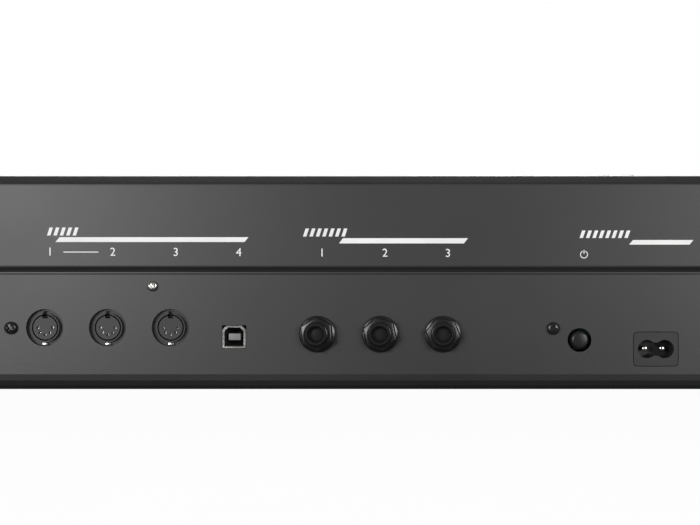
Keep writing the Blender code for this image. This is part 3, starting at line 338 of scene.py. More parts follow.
@dataclass(frozen=True)
class Walnut(Finish):
    """Oiled walnut with long figure, growth lines and pores along Y."""

    figure_scale: float = 26.0
    figure_stretch: Triple = (1.0, 0.16, 1.0)
    figure_share: float = 0.6
    figure_gloss: float = 0.1
    ring_scale: float = 34.0
    ring_stretch: Triple = (1, 0.12, 1)
    ring_wander: float = 9.0
    ring_share: float = 0.4
    pore_scale: float = 900.0
    pore_stretch: Triple = (1.0, 0.04, 1.0)
    pore_level: float = 0.62
    pore_weight: float = 0.3
    pore_shade: float = 0.5
    pore_gloss: float = 0.4
    pore_depth: float = 0.06 * MM
    tone_edges: Triple = (0.22, 0.5, 0.78)
    tones: Triple = (0.4, 1.0, 1.7)
    oil: float = 0.15
    oil_roughness: float = 0.2

    def build(self) -> bpy.types.Material:
        """Make the material.

        Returns:
            The material.
        """
        graph = Graph(self.name)
        figure = graph.noise(self.figure_scale, 5.0, self.figure_stretch)
        rings = graph.node(
            "ShaderNodeTexWave",
            {"wave_type": "BANDS", "bands_direction": "Z"},
            {
                "Vector": graph.place(self.ring_stretch),
                "Scale": self.ring_scale,
                "Distortion": self.ring_wander,
                "Detail": 3.0,
                "Detail Scale": 1.5,
            },
            "Fac",
        )
        pores = graph.noise(self.pore_scale, 2.0, self.pore_stretch)
        fleck = (pores > self.pore_level) * self.pore_weight
        mixed = figure * self.figure_share + rings * self.ring_share - fleck * self.pore_shade
        graph.feed(
            Base_Color=graph.ramp(mixed, self.stops(self.tone_edges, self.tones)),
            Roughness=self.roughness + fleck * self.pore_gloss + (figure - 0.5) * self.figure_gloss,
            Normal=graph.bump(pores, self.pore_depth, 0.5),
            Coat_Weight=self.oil,
            Coat_Roughness=self.oil_roughness,
        )
        return graph.material


@dataclass(frozen=True)
class BrushedMetal(Finish):
    """Metal with fine lines along X and faint handling marks."""

    line_scale: float = 1500.0
    line_stretch: Triple = (0.05, 1.0, 1.0)
    line_gloss: float = 0.25
    line_depth: float = 0.02 * MM
    line_strength: float = 0.4
    mark_scale: float = 60.0
    mark_gloss: float = 0.1
    tone_edges: Pair = (0.3, 0.7)
    tones: Pair = (0.82, 1.08)

    def build(self) -> bpy.types.Material:
        """Make the material.

        Returns:
            The material.
        """
        graph = Graph(self.name)
        lines = graph.noise(self.line_scale, 3.0, self.line_stretch)
        marks = graph.noise(self.mark_scale, 4.0)
        gloss = (lines - 0.5) * self.line_gloss + (marks - 0.5) * self.mark_gloss
        graph.feed(
            Base_Color=graph.ramp(marks, self.stops(self.tone_edges, self.tones)),
            Roughness=self.roughness + gloss,
            Metallic=1.0,
            Normal=graph.bump(lines, self.line_depth, self.line_strength),
        )
        return graph.material


FINISHES: tuple[Finish, ...] = (
    PowderCoat("powder_coat", (0.020, 0.020, 0.021), 0.46, specular=0.62),
    Walnut("walnut", (0.12, 0.050, 0.022), 0.38),
    Finish("rubber", (0.018, 0.018, 0.018), 0.85, grain=1200.0, grain_depth=0.08 * MM),
    BrushedMetal("steel", (0.56, 0.57, 0.58), 0.34),
    Finish("key_white", (0.80, 0.77, 0.69), 0.22, coat=0.3, grain=700.0, grain_depth=0.01 * MM, spread=0.03),
    Finish("key_black", (0.012, 0.012, 0.013), 0.24, coat=0.3, grain=900.0, grain_depth=0.01 * MM),
    Finish("plastic_black", (0.011, 0.011, 0.012), 0.26, grain=2200.0, grain_depth=0.015 * MM),
    Finish("plastic_matt", (0.020, 0.020, 0.021), 0.5, grain=2600.0),
    Finish("plastic_grey", (0.22, 0.22, 0.23), 0.5, grain=2600.0, grain_depth=0.04 * MM),
    Finish("drawbar_brown", (0.13, 0.040, 0.018), 0.28, coat=0.25, spread=0.1),
    Finish("drawbar_white", (0.78, 0.75, 0.67), 0.3, coat=0.25, spread=0.04),
    Finish("drawbar_black", (0.014, 0.014, 0.015), 0.28, coat=0.25),
    Finish("button_grey", (0.26, 0.26, 0.27), 0.48, grain=2600.0, grain_depth=0.04 * MM, spread=0.06),
    BrushedMetal("nickel", (0.74, 0.73, 0.70), 0.2),
    Finish("circuit_board", (0.015, 0.11, 0.05), 0.4, coat=0.4, grain=400.0, blotch=260.0, spread=0.3),
    Finish("ink_white", Ink.WHITE.value, 0.55, grain=3000.0, spread=0.05),
    Finish("ink_black", Ink.BLACK.value, 0.5, grain=3000.0),
    Finish("felt", (0.16, 0.012, 0.014), 0.95, grain=2400.0, grain_depth=0.2 * MM, blotch=300.0, spread=0.3),
    Finish("lens_red", (0.42, 0.02, 0.015), 0.15, coat=0.5, spread=0.08),
    Finish("shadow_gap", (0.004, 0.004, 0.004), 0.9, grain=1500.0),
)


def clear_selection() -> None:
    """Deselect everything."""
    bpy.ops.object.select_all(action="DESELECT")
    bpy.context.view_layer.objects.active = None


def make_active(obj: Thing) -> None:
    """Select one object alone.

    Args:
        obj: the object.
    """
    clear_selection()
    obj.select_set(True)
    bpy.context.view_layer.objects.active = obj


@contextmanager
def editing(outward: bool = False) -> Iterator[None]:
    """Edit mode of the active object with everything selected.

    Args:
        outward: turn the faces outwards at the end.

    Yields:
        Nothing.
    """
    bpy.ops.object.mode_set(mode="EDIT")
    bpy.ops.mesh.select_all(action="SELECT")
    yield
    if outward:
        bpy.ops.mesh.select_all(action="SELECT")
        bpy.ops.mesh.normals_make_consistent(inside=False)
    bpy.ops.object.mode_set(mode="OBJECT")


def settle(obj: Thing) -> None:
    """Put an object's place into its mesh.

    Args:
        obj: the object.
    """
    obj.data.transform(obj.matrix_world)
    obj.matrix_world = Matrix.Identity(4)
    obj.data.update()


def face_back(obj: Thing) -> None:
    """Tip a shape that points up so that it points to the rear."""
    obj.data.transform(Matrix.Rotation(-QUARTER_TURN, 4, "X"))


def middle_of(node: str) -> Triple:
    """Middle of a CAD node's box."""
    low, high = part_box(node)
    return tuple((a + b) / 2 for a, b in zip(low, high))


def lettering(
    text: str, height: float, thickness: float, place: Sequence[float], facing_back: bool = False
) -> Thing:
    """Number as a thin solid, flat on the top panel or upright on the rear wall.

    Args:
        text: digits to write.
        height: height of the digits.
        thickness: thickness of the ink.
        place: middle of the number.
        facing_back: upright and facing the rear.

    Returns:
        The new mesh object.
    """
    type_size_to_height = 1.38
    clear_selection()
    bpy.ops.object.text_add()
    obj = bpy.context.object
    obj.data.body = text
    obj.data.size = height * type_size_to_height
    obj.data.align_x = "CENTER"
    obj.data.align_y = "CENTER"
    obj.data.extrude = thickness / 2
    obj.data.resolution_u = 4
    bpy.ops.object.convert(target="MESH")
    obj = bpy.context.object
    if facing_back:
        obj.data.transform(Matrix.Rotation(math.pi, 4, "Z") @ Matrix.Rotation(QUARTER_TURN, 4, "X"))
    obj.data.transform(Matrix.Translation(Vector(place)))
    return obj


@dataclass
class Workshop:
    """Makes and finishes pieces and attaches them to bodies; angles are in degrees."""

    materials: dict[str, bpy.types.Material]
    frame: dict[str, Any]
    copy_angle: float = 35.0
    merge_distance: float = 0.001 * MM
    flat_angle: float = 1.0

    def finish_piece(
        self,
        obj: Thing,
        name: str,
        finish: str,
        body: str = CASE,
        nodes: Sequence[str] = (),
        angle: float = 35.0,
    ) -> Thing:
        """Name and dress a piece and attach it to its body.

        Args:
            obj: the modelled object.
            name: the piece's name.
            finish: its material.
            body: the body that it rides on.
            nodes: the CAD nodes that it stands for.
            angle: edges flatter than this are shaded smooth.

        Returns:
            The same object.
        """
        settle(obj)
        obj.name = name
        obj.data.name = name
        obj.data.materials.clear()
        obj.data.materials.append(self.materials[finish])
        make_active(obj)
        bpy.ops.object.shade_smooth_by_angle(angle=math.radians(angle))
        clear_selection()
        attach(obj, body)
        if nodes:
            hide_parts(*nodes)
        finish in SLOTS
        log.info("piece %s on %s in %s", name, body, finish)
        return obj

    def turned(
        self,
        profile: Profile,
        centre: Sequence[float],
        axis: Axis = Axis.UP,
        sides: int = 48,
        turn: float = 0.0,
    ) -> Thing:
        """Raise a turned shape ring by ring from a disc.

        Args:
            profile: (radius, height) pairs from the first face to the last.
            centre: where height zero lies.
            axis: the way that the height points.
            sides: sides of each ring.
            turn: turn of the first corner.

        Returns:
            The new object.
        """
        clear_selection()
        radius, height = profile[0]
        bpy.ops.mesh.primitive_circle_add(
            vertices=sides, radius=radius, fill_type="NGON", rotation=(0, 0, math.radians(turn))
        )
        obj = bpy.context.object
        settle(obj)
        obj.data.transform(Matrix.Translation((0, 0, height)))
        with editing(outward=True):
            for next_radius, next_height in profile[1:]:
                rise = (0, 0, next_height - height)
                bpy.ops.mesh.extrude_region_move(TRANSFORM_OT_translate={"value": rise})
                ratio = next_radius / radius
                bpy.ops.transform.resize(value=(ratio, ratio, 1), center_override=(0, 0, next_height))
                radius, height = next_radius, next_height
        if axis is Axis.BACK:
            face_back(obj)
        obj.data.transform(Matrix.Translation(Vector(centre)))
        return obj

    def block(self, box: Box, edge: float = 0.0, origin: Sequence[float] = (0, 0, 0)) -> Thing:
        """Box with its edges bevelled in edit mode.

        Args:
            box: its lowest and highest corner, from the origin.
            edge: width of the bevel.
            origin: where the corners are measured from.

        Returns:
            The new object.
        """
        clear_selection()
        low, high = (shifted(origin, corner) for corner in box)
        size = [b - a for a, b in zip(low, high)]
        middle = [(a + b) / 2 for a, b in zip(low, high)]
        bpy.ops.mesh.primitive_cube_add(size=1, location=middle, scale=size)
        obj = bpy.context.object
        settle(obj)
        if edge:
            with editing():
                bpy.ops.mesh.bevel(offset=edge, segments=2, affect="EDGES")
        return obj

    def rounded(self, obj: Thing, width: float, segments: int, angle: float) -> None:
        """Bevel an object's sharp edges.

        Args:
            obj: the object.
            width: width of the bevel.
            segments: faces round each edge.
            angle: edges sharper than this are bevelled.
        """
        make_active(obj)
        step = obj.modifiers.new("rounding", "BEVEL")
        step.width = width
        step.segments = segments
        step.limit_method = "ANGLE"
        step.angle_limit = math.radians(angle)
        bpy.ops.object.modifier_apply(modifier=step.name)

    def cut(self, obj: Thing, cutters: Sequence[Thing]) -> None:
        """Cut objects out of another and delete them.

        Args:
            obj: the object that is cut.
            cutters: what is cut out of it.
        """
        for cutter in cutters:
            make_active(obj)
            step = obj.modifiers.new("cut", "BOOLEAN")
            step.operation = "DIFFERENCE"
            step.solver = "EXACT"
            step.object = cutter
            bpy.ops.object.modifier_apply(modifier=step.name)
            bpy.data.objects.remove(cutter, do_unlink=True)

    def joined(self, objects: Sequence[Thing]) -> Thing:
        """Join objects into the first of them.

        Args:
            objects: what is joined.

        Returns:
            The first object.
        """
        clear_selection()
        for obj in objects:
            obj.select_set(True)
        bpy.context.view_layer.objects.active = objects[0]
        bpy.ops.object.join()
        return bpy.context.object

    def softened(
        self, node: str, width: float, finish: str, body: str | None = None, segments: int = 2
    ) -> None:
        """Copy of a CAD node with its sharp edges rounded.

        Args:
            node: the CAD node.
            width: width of the rounding.
            finish: material.
            body: the body that it rides on, or None where that has the node's name.
            segments: faces round each edge.
        """
        obj = self.frame["nodes"][node].copy()
        obj.data = obj.data.copy()
        obj.parent = None
        bpy.context.scene.collection.objects.link(obj)
        make_active(obj)
        with editing():
            bpy.ops.mesh.remove_doubles(threshold=self.merge_distance)
            bpy.ops.mesh.dissolve_limited(angle_limit=math.radians(self.flat_angle))
        self.rounded(obj, width, segments, self.copy_angle)
        self.finish_piece(obj, f"{node}_finished", finish, body or node, [node])

    def dress(self, node: str, finish: str) -> None:
        """Give a carried-over CAD node its material.

        Args:
            node: the CAD node.
            finish: material.
        """
        obj = self.frame["nodes"][node]
        if not obj.material_slots:
            obj.data.materials.append(self.materials[finish])
        for slot in obj.material_slots:
            slot.material = self.materials[finish]
        log.info("node %s in %s", node, finish)


@dataclass
class RearPanel:
    """Ties photograph columns and rows to places on the rear wall.

    Attributes:
        wall_y: outer face of the wall.
        base: underside of the case.
        scale: photograph pixels per metre on the wall.
        middle_column: photograph column at middle_x.
        middle_x: place along the case of the photograph's middle.
        base_row: photograph row of the case's underside.
    """

    wall_y: float
    base: float
    scale: float = 2060.0
    middle_column: float = 350.0
    middle_x: float = -0.210
    base_row: float = 390.7

    def x(self, column: float) -> float:
        """X of a photograph column."""
        return self.middle_x - (column - self.middle_column) / self.scale

    def z(self, row: float) -> float:
        """Height of a photograph row."""
        return self.base + (self.base_row - row) / self.scale

    def at(self, column: float, row: float) -> Triple:
        """Place on the wall of a photograph column and row."""
        return self.x(column), self.wall_y, self.z(row)


@dataclass
class SubAssembly:
    """Pieces that belong together."""

    shop: Workshop

    def build(self) -> None:
        """Make and dress the pieces."""
        raise NotImplementedError


@dataclass
class WallAssembly(SubAssembly):
    """Pieces that are placed by photograph columns and rows on the rear wall."""

    panel: RearPanel


@dataclass
class Casework(SubAssembly):
    """Sheet metal, boards and feet in their CAD form, and rounded wooden end cheeks."""

    cheek_edge: float = 0.5 * MM

    def build(self) -> None:
        """Dress the carried-over nodes and round the cheeks."""
        feet = [f"foot_{end}_{side}" for end in ("front", "rear") for side in ("left", "right")]
        carried = {
            "powder_coat": ["bottom_chassis", "top_cover"],
            "rubber": feet,
            "steel": ["keybed_frame", "key_pivot_rod"],
            "plastic_matt": ["drawbar_rack"],
            "circuit_board": ["panel_board", "main_board", "power_supply_board", "key_contact_board"],
        }
        for finish, nodes in carried.items():
            for node in nodes:
                self.shop.dress(node, finish)
        for side in ("left", "right"):
            self.shop.softened(f"{side}_end_cheek", self.cheek_edge, "walnut", CASE)


@dataclass
class Screws(WallAssembly):
    """Cross-head pan screws; shares are of a head's radius, and heights of its rise."""

    black: Sequence[Pair] = ((11.2, 327.9), (553.3, 328.4), (-330.0, 328.0))
    bright: Sequence[Pair] = (
        (152.6, 286.2), (-200.0, 286.2), (-560.0, 286.2), (-840.0, 286.2), (740.0, 286.2)
    )
    black_radius: float = 3.1 * MM
    bright_radius: float = 2.5 * MM
    rise_share: float = 0.62
    foot_share: float = 0.9
    arm_share: float = 0.58
    slot_share: float = 0.17
    edge_heights: Pair = (0.15, 0.4)
    dome_angles: Row = (0.35, 0.7, 1.0, 1.25, 1.42)
    slot_heights: Pair = (0.35, 1.5)
    first_turn: float = 18.0
    turn_step: float = 31.0
    sides: int = 32

    def head(self, name: str, place: Triple, radius: float, finish: str, turn: float) -> None:
        """One pan head with its cross recess.

        Args:
            name: piece name.
            place: middle of its seat on the wall.
            radius: radius of the head.
            finish: material.
            turn: turn of the cross, in degrees.
        """
        rise = radius * self.rise_share
        edge_low, edge_high = self.edge_heights
        profile = [(radius * self.foot_share, 0.0), (radius, rise * edge_low), (radius, rise * edge_high)]
        for angle in self.dome_angles:
            height = edge_high + (1 - edge_high) * math.sin(angle)
            profile.append((radius * math.cos(angle), rise * height))
        obj = self.shop.turned(profile, (0, 0, 0), Axis.UP, self.sides)
        arm, width = radius * self.arm_share, radius * self.slot_share
        low, high = (rise * share for share in self.slot_heights)
        bars = []
        for spin in (0.0, 90.0):
            bar = self.shop.block(((-arm, -width, low), (arm, width, high)))
            bar.data.transform(Matrix.Rotation(math.radians(turn + spin), 4, "Z"))
            bars.append(bar)
        self.shop.cut(obj, bars)
        face_back(obj)
        obj.data.transform(Matrix.Translation(place))
        self.shop.finish_piece(obj, name, finish)

    def build(self) -> None:
        """Make every screw."""
        for finish, label, radius, places in (
            ("plastic_black", "black", self.black_radius, self.black),
            ("nickel", "bright", self.bright_radius, self.bright),
        ):
            for i, (column, row) in enumerate(places, 1):
                turn = self.first_turn + self.turn_step * i
                self.head(f"{label}_screw_{i}", self.panel.at(column, row), radius, finish, turn)


@dataclass(frozen=True)
class Band:
    """Band of print between photograph columns and rows, with its ends slanted by some columns."""

    left: float
    right: float
    top: float
    bottom: float
    slant: float


@dataclass(frozen=True)
class Digit:
    """Printed number and its photograph column and row."""

    text: str
    column: float
    row: float


@dataclass
class Print(WallAssembly):
    """Plain bars, hatching, numbers and the power mark; slats are sized in photograph columns."""

    thickness: float = 0.06 * MM
    digit_height: float = 4.1 * MM
    slat_pitch: float = 6.4
    slat_width: float = 3.4
    mark_column: float = 584.0
    mark_row: float = 254.5
    ring_radius: float = 1.7 * MM
    line_radius: float = 0.22 * MM
    ring_flatness: float = 0.15
    gap: Box = (mm(-0.7, -1, 0.6), mm(0.7, 1, 3))
    stroke: Box = (mm(-0.22, -0.02, 0.3), mm(0.22, 0.03, 2.2))
    bars: Sequence[Band] = (
        Band(55.5, 248.5, 237.2, 242.0, 4.0),
        Band(339.0, 468.0, 238.2, 243.4, 4.0),
        Band(629.0, 693.5, 240.0, 244.6, 4.0),
        Band(63.5, 98.5, 251.6, 252.5, 0.0),
    )
    hatchings: Sequence[Band] = (
        Band(47.0, 84.0, 227.5, 235.5, 2.6),
        Band(303.0, 356.5, 228.5, 236.5, 2.6),
        Band(579.5, 636.0, 230.5, 238.0, 2.6),
    )
    digits: Sequence[Digit] = (
        Digit("1", 50.0, 252.0),
        Digit("2", 112.8, 252.2),
        Digit("3", 175.8, 252.4),
        Digit("4", 238.8, 252.6),
        Digit("1", 322.0, 253.0),
        Digit("2", 385.0, 253.2),
        Digit("3", 448.0, 253.4),
    )

    def flat(self, band: Band) -> Thing:
        """Thin block on the wall in the form of a slanted band.

        Args:
            band: its edges.

        Returns:
            The new object.
        """
        corners = (
            (band.left, band.bottom),
            (band.right - band.slant, band.bottom),
            (band.left + band.slant, band.top),
            (band.right, band.top),
        )
        clear_selection()
        bpy.ops.mesh.primitive_plane_add(size=1)
        obj = bpy.context.object
        for vert, (column, row) in zip(obj.data.vertices, corners):
            vert.co = self.panel.at(column, row)
        with editing(outward=True):
            bpy.ops.mesh.extrude_region_move(TRANSFORM_OT_translate={"value": (0, self.thickness, 0)})
        return obj

    def hatching(self, band: Band) -> Thing:
        """Row of slanted slats that fills a band.

        Args:
            band: its edges.

        Returns:
            The joined slats.
        """
        slats = []
        for k in range(int((band.right - band.left - band.slant) / self.slat_pitch)):
            left = band.left + k * self.slat_pitch
            right = left + self.slat_width + band.slant
            slats.append(self.flat(Band(left, right, band.top, band.bottom, band.slant)))
        return self.shop.joined(slats)

    def power_mark(self) -> Thing:
        """Broken ring with a stroke, the plain on/off mark.

        Returns:
            The joined mark.
        """
        clear_selection()
        bpy.ops.mesh.primitive_torus_add(
            major_radius=self.ring_radius,
            minor_radius=self.line_radius,
            major_segments=36,
            minor_segments=6,
            rotation=(QUARTER_TURN, 0, 0),
        )
        ring = bpy.context.object
        settle(ring)
        ring.data.transform(Matrix.Scale(self.ring_flatness, 4, (0, 1, 0)))
        self.shop.cut(ring, [self.shop.block(self.gap)])
        mark = self.shop.joined([ring, self.shop.block(self.stroke)])
        x, y, z = self.panel.at(self.mark_column, self.mark_row)
        mark.data.transform(Matrix.Translation((x, y + self.thickness / 2, z)))
        return mark

    def build(self) -> None:
        """Print the bars, the hatching, the numbers and the power mark."""
        for i, band in enumerate(self.bars, 1):
            self.shop.finish_piece(self.flat(band), f"printed_bar_{i}", "ink_white")
        for i, band in enumerate(self.hatchings, 1):
            self.shop.finish_piece(self.hatching(band), f"printed_hatching_{i}", "ink_white")
        for i, digit in enumerate(self.digits, 1):
            place = self.panel.at(digit.column, digit.row)
            number = lettering(digit.text, self.digit_height, self.thickness, place, facing_back=True)
            self.shop.finish_piece(number, f"printed_number_{i}", "ink_white")
        self.shop.finish_piece(self.power_mark(), "printed_power_mark", "ink_white")


@dataclass
class RoundSockets(SubAssembly):
    """Metal contacts and earth tabs of the three five-pin sockets."""

    contacts: int = 5
    first_angle: float = 180.0
    contact_step: float = 45.0
    contact_circle: float = 3.5 * MM
    contact_profile: Profile = (mm(0.62, -2), mm(0.62, 0.2), mm(0.4, 0.2), mm(0.4, -1.8))
    contact_depth: float = 1.2 * MM
    contact_sides: int = 14
    tab: Box = (mm(-1.3, -1.6, -8.6), mm(1.3, -0.1, -7.4))
    tab_edge: float = 0.2 * MM

    def build(self) -> None:
        """Dress each socket."""
        for i in (1, 2, 3):
            node = f"din_socket_{i}"
            x, _, z = middle_of(node)
            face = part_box(node)[1][1]
            tubes = [self.contact((x, face, z), k) for k in range(self.contacts)]
            self.shop.finish_piece(self.shop.joined(tubes), f"{node}_contacts", "nickel")
            tab = self.shop.block(self.tab, self.tab_edge, (x, face, z))
            self.shop.finish_piece(tab, f"{node}_earth_tab", "nickel")
            self.shop.dress(node, "plastic_matt")

    def contact(self, face: Triple, k: int) -> Thing:
        """One bored contact.

        Args:
            face: middle of the socket's face.
            k: its number round the circle.

        Returns:
            The new object.
        """
        angle = math.radians(self.first_angle + self.contact_step * k)
        reach_x, reach_z = self.contact_circle * math.cos(angle), self.contact_circle * math.sin(angle)
        centre = shifted(face, (reach_x, -self.contact_depth, reach_z))
        return self.shop.turned(self.contact_profile, centre, Axis.BACK, self.contact_sides)


@dataclass
class Jacks(WallAssembly):
    """Detailed quarter-inch jacks; the height is from the case's underside to their axes."""

    height: float = 27.5 * MM
    housing_half: float = 8 * MM
    housing_foot: float = 0.4 * MM
    housing_top: float = 13.5 * MM
    housing_edge: float = 0.5 * MM
    behind_wall: float = 1.9 * MM
    flange: Profile = (mm(8.3, 0.3), mm(8.9, 0.5), mm(8.9, 1.0), mm(8.3, 1.5))
    nut: Profile = (mm(8.75, 1.2), mm(8.75, 4.6))
    nut_edge: float = 0.9 * MM
    nut_edge_faces: int = 3
    nut_edge_angle: float = 50.0
    nut_turns: Row = (4.0, 12.0, 22.0, 8.0, 27.0, 15.0)
    bush_radius: float = 6.05 * MM
    thread_pitch: float = 0.75 * MM
    thread_depth: float = 0.22 * MM
    thread_heights: Row = mm(0.6, 6.2)
    shoulder_heights: Row = mm(6.6, 6.8)
    lip_radius: float = 5.3 * MM
    lip_edge: float = 0.4 * MM
    mouth_radius: float = 4.2 * MM
    mouth_depth: float = 0.9 * MM
    bore_radius: float = 3.4 * MM
    bore_depth: float = 16 * MM
    bore_end_share: float = 0.3
    proud: float = 8.0 * MM
    smooth_angle: float = 40.0

    def build(self) -> None:
        """Build six jacks, each nut turned its own way."""
        names = [f"{group}_jack_{i}" for group in ("pedal", "audio") for i in (1, 2, 3)]
        for name, turn in zip(names, self.nut_turns):
            self.jack(name, turn)

    def bush(self) -> Profile:
        """Threaded bush with its lip and bore.

        Returns:
            Its (radius, height) pairs.
        """
        root, outer = self.bush_radius - self.thread_depth, self.bush_radius
        height, thread_end = self.thread_heights
        seat, lip_foot = self.shoulder_heights
        profile = [(root, -self.behind_wall)]
        while height < thread_end:
            profile += [(root, height), (outer, height + self.thread_pitch / 2)]
            height += self.thread_pitch
        profile += [
            (root, seat),
            (self.lip_radius, lip_foot),
            (self.lip_radius, self.proud - self.lip_edge),
            (self.lip_radius - self.lip_edge, self.proud),
            (self.mouth_radius, self.proud),
            (self.bore_radius, self.proud - self.mouth_depth),
            (self.bore_radius, -self.bore_depth),
            (self.bore_radius * self.bore_end_share, -self.bore_depth),
        ]
        return profile

    def jack(self, name: str, turn: float) -> None:
        """One jack: housing, flange, chamfered nut, threaded bush and bored lip.

        Args:
            name: its CAD node.
            turn: turn of the nut, in degrees.
        """
        _, inner_y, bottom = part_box(name)[0]
        x, y, z = middle_of(name)[0], self.panel.wall_y, self.panel.base + self.height
        low = (x - self.housing_half, inner_y, bottom + self.housing_foot)
        high = (x + self.housing_half, y - self.behind_wall, bottom + self.housing_top)
        housing = self.shop.block((low, high), self.housing_edge)
        flange = self.shop.turned(self.flange, (x, y, z), Axis.BACK)
        nut = self.shop.turned(self.nut, (x, y, z), Axis.BACK, 6, turn)
        self.shop.rounded(nut, self.nut_edge, self.nut_edge_faces, self.nut_edge_angle)
        bush = self.shop.turned(self.bush(), (x, y, z), Axis.BACK)
        whole = self.shop.joined([bush, flange, nut, housing])
        self.shop.finish_piece(whole, f"{name}_finished", "plastic_black", CASE, [name], self.smooth_angle)


@dataclass
class CaseJoint(WallAssembly):
    """Painted shade: a dark strip in the joint between cover and chassis, and a dark strip for the shadow
    line under the rolled lip.
    """

    half_length: float = 424.0 * MM
    # rows, faces and edge of the dark strip painted as shade in the joint's gap
    seal_rows: Pair = (267.4, 272.6)
    seal_faces: Row = mm(-2.4, -1.2)
    seal_edge: float = 0.2 * MM
    lip_rows: Pair = (273.5, 274.5)
    lip_faces: Row = mm(-0.5, 0.04)
    lip_edge: float = 0.02 * MM

    def build(self) -> None:
        """Make the painted shade in the joint and the painted shadow line."""
        # painted shade: a dark strip fills the joint's gap where only shade falls
        self.strip("joint_painted_shade", self.seal_rows, self.seal_faces, self.seal_edge)
        self.strip("lip_shadow", self.lip_rows, self.lip_faces, self.lip_edge)

    def strip(self, name: str, rows: Pair, faces: Row, edge: float) -> None:
        """Strip along the case.

        Args:
            name: piece name.
            rows: photograph rows of its top and bottom.
            faces: its inner and outer face, from the wall.
            edge: width of its bevel.
        """
        top, bottom = (self.panel.z(row) for row in rows)
        inner, outer = (self.panel.wall_y + face for face in faces)
        box = ((-self.half_length, inner, bottom), (self.half_length, outer, top))
        self.shop.finish_piece(self.shop.block(box, edge), name, "shadow_gap")


@dataclass
class DataSocket(SubAssembly):
    """Tongue of the square data socket, and dark sheets painted as shade inside its recess."""

    tongue: Box = (mm(-2.85, -8.8, -1.6), mm(2.85, -1.2, 1.6))
    tongue_edge: float = 0.2 * MM
    # dark sheets painted as shade on the walls and back of the socket's recess
    lining: Sequence[Box] = (
        (mm(-4.525, -8.9, -4.2), mm(-4.275, -0.8, 4.2)),
        (mm(4.275, -8.9, -4.2), mm(4.525, -0.8, 4.2)),
        (mm(-4.2, -8.9, -4.475), mm(4.2, -0.8, -4.225)),
        (mm(-3.0, -8.9, 4.225), mm(3.0, -0.8, 4.475)),
        (mm(-4.4, -8.9, -4.3), mm(4.4, -8.6, 4.3)),
    )

    def build(self) -> None:
        """Dress the shell and make the tongue and the painted shade inside the socket."""
        x, _, z = middle_of("usb_socket")
        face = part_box("usb_socket")[1][1]
        self.shop.dress("usb_socket", "nickel")
        tongue = self.shop.block(self.tongue, self.tongue_edge, (x, face, z))
        self.shop.finish_piece(tongue, "usb_tongue", "plastic_grey")
        # painted shade: dark sheets stand in for the shade inside the socket
        walls = [self.shop.block(wall, origin=(x, face, z)) for wall in self.lining]
        self.shop.finish_piece(self.shop.joined(walls), "usb_painted_shade", "shadow_gap")


@dataclass
class MainsInlet(SubAssembly):
    """Two round pins of the mains inlet, and the power button beside it."""

    pin_offset: float = 4.3 * MM
    pin: Profile = (mm(1.24, -12.9), mm(1.24, -5.2), mm(1.1, -4.75), mm(0.7, -4.55))
    pin_sides: int = 24
    button_edge: float = 0.35 * MM

    def build(self) -> None:
        """Dress the inlet, add its pins and round the button."""
        x, _, z = middle_of("mains_inlet")
        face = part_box("mains_inlet")[1][1]
        self.shop.dress("mains_inlet", "plastic_matt")
        for name, side in (("right", -1), ("left", 1)):
            centre = (x + side * self.pin_offset, face, z)
            pin = self.shop.turned(self.pin, centre, Axis.BACK, self.pin_sides)
            self.shop.finish_piece(pin, f"inlet_pin_{name}", "nickel")
        self.shop.softened("power_button", self.button_edge, "plastic_black")


@dataclass
class Keyboard(SubAssembly):
    """Keys with rounded edges and the felt strip under the drop wall."""

    octaves: int = 5
    natural_edge: float = 0.5 * MM
    sharp_edge: float = 0.7 * MM
    sharp_faces: int = 3
    felt_low: Row = mm(1, 0.3, 1.0)
    felt_high: Row = mm(-1, 2.6, 2.95)
    felt_edge: float = 0.4 * MM

    def build(self) -> None:
        """Round every comb of keys and add the felt."""
        for i in range(1, self.octaves + 1):
            self.shop.softened(f"natural_keys_octave_{i}", self.natural_edge, "key_white")
            sharps = f"sharp_keys_octave_{i}"
            self.shop.softened(sharps, self.sharp_edge, "key_black", segments=self.sharp_faces)
        self.shop.softened("top_c_key", self.natural_edge, "key_white")
        (right, front, _), (left, _, _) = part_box("top_cover")
        key_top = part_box("natural_keys_octave_1")[1][2]
        low = shifted((right, front, key_top), self.felt_low)
        high = shifted((left, front, key_top), self.felt_high)
        self.shop.finish_piece(self.shop.block((low, high), self.felt_edge), "key_felt", "felt")


@dataclass
class Drawbars(SubAssembly):
    """Nine drawbars with the numbers of their steps on the stems.

    Attributes:
        colours: finishes from the first drawbar to the last.
        knob_rise: top of the knob above the face with the numbers.
        first_digit: front of the knob to the first number.
    """

    colours: Sequence[BarColour] = (
        BarColour.BROWN, BarColour.BROWN, BarColour.WHITE, BarColour.WHITE, BarColour.BLACK,
        BarColour.WHITE, BarColour.BLACK, BarColour.BLACK, BarColour.WHITE,
    )
    edge: float = 0.5 * MM
    knob_rise: float = 15.2 * MM
    first_digit: float = 14.5 * MM
    digit_step: float = 4.0 * MM
    digit_height: float = 3.0 * MM
    ink_thickness: float = 0.06 * MM
    steps: int = 8

    def build(self) -> None:
        """Round and number every drawbar."""
        for i, colour in enumerate(self.colours, 1):
            self.drawbar(f"drawbar_{i}", colour)

    def drawbar(self, node: str, colour: BarColour) -> None:
        """One drawbar with its numbers, dark on white stems and white on the others.

        Args:
            node: the CAD node.
            colour: its finish.
        """
        self.shop.softened(node, self.edge, colour.value)
        low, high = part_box(node)
        x, start, top = middle_of(node)[0], low[1] + self.first_digit, high[2] - self.knob_rise
        digits = []
        for k in range(self.steps):
            place = (x, start + k * self.digit_step, top)
            digits.append(lettering(str(self.steps - k), self.digit_height, self.ink_thickness, place))
        ink = "ink_black" if colour is BarColour.WHITE else "ink_white"
        self.shop.finish_piece(self.shop.joined(digits), f"{node}_numbers", ink, node)


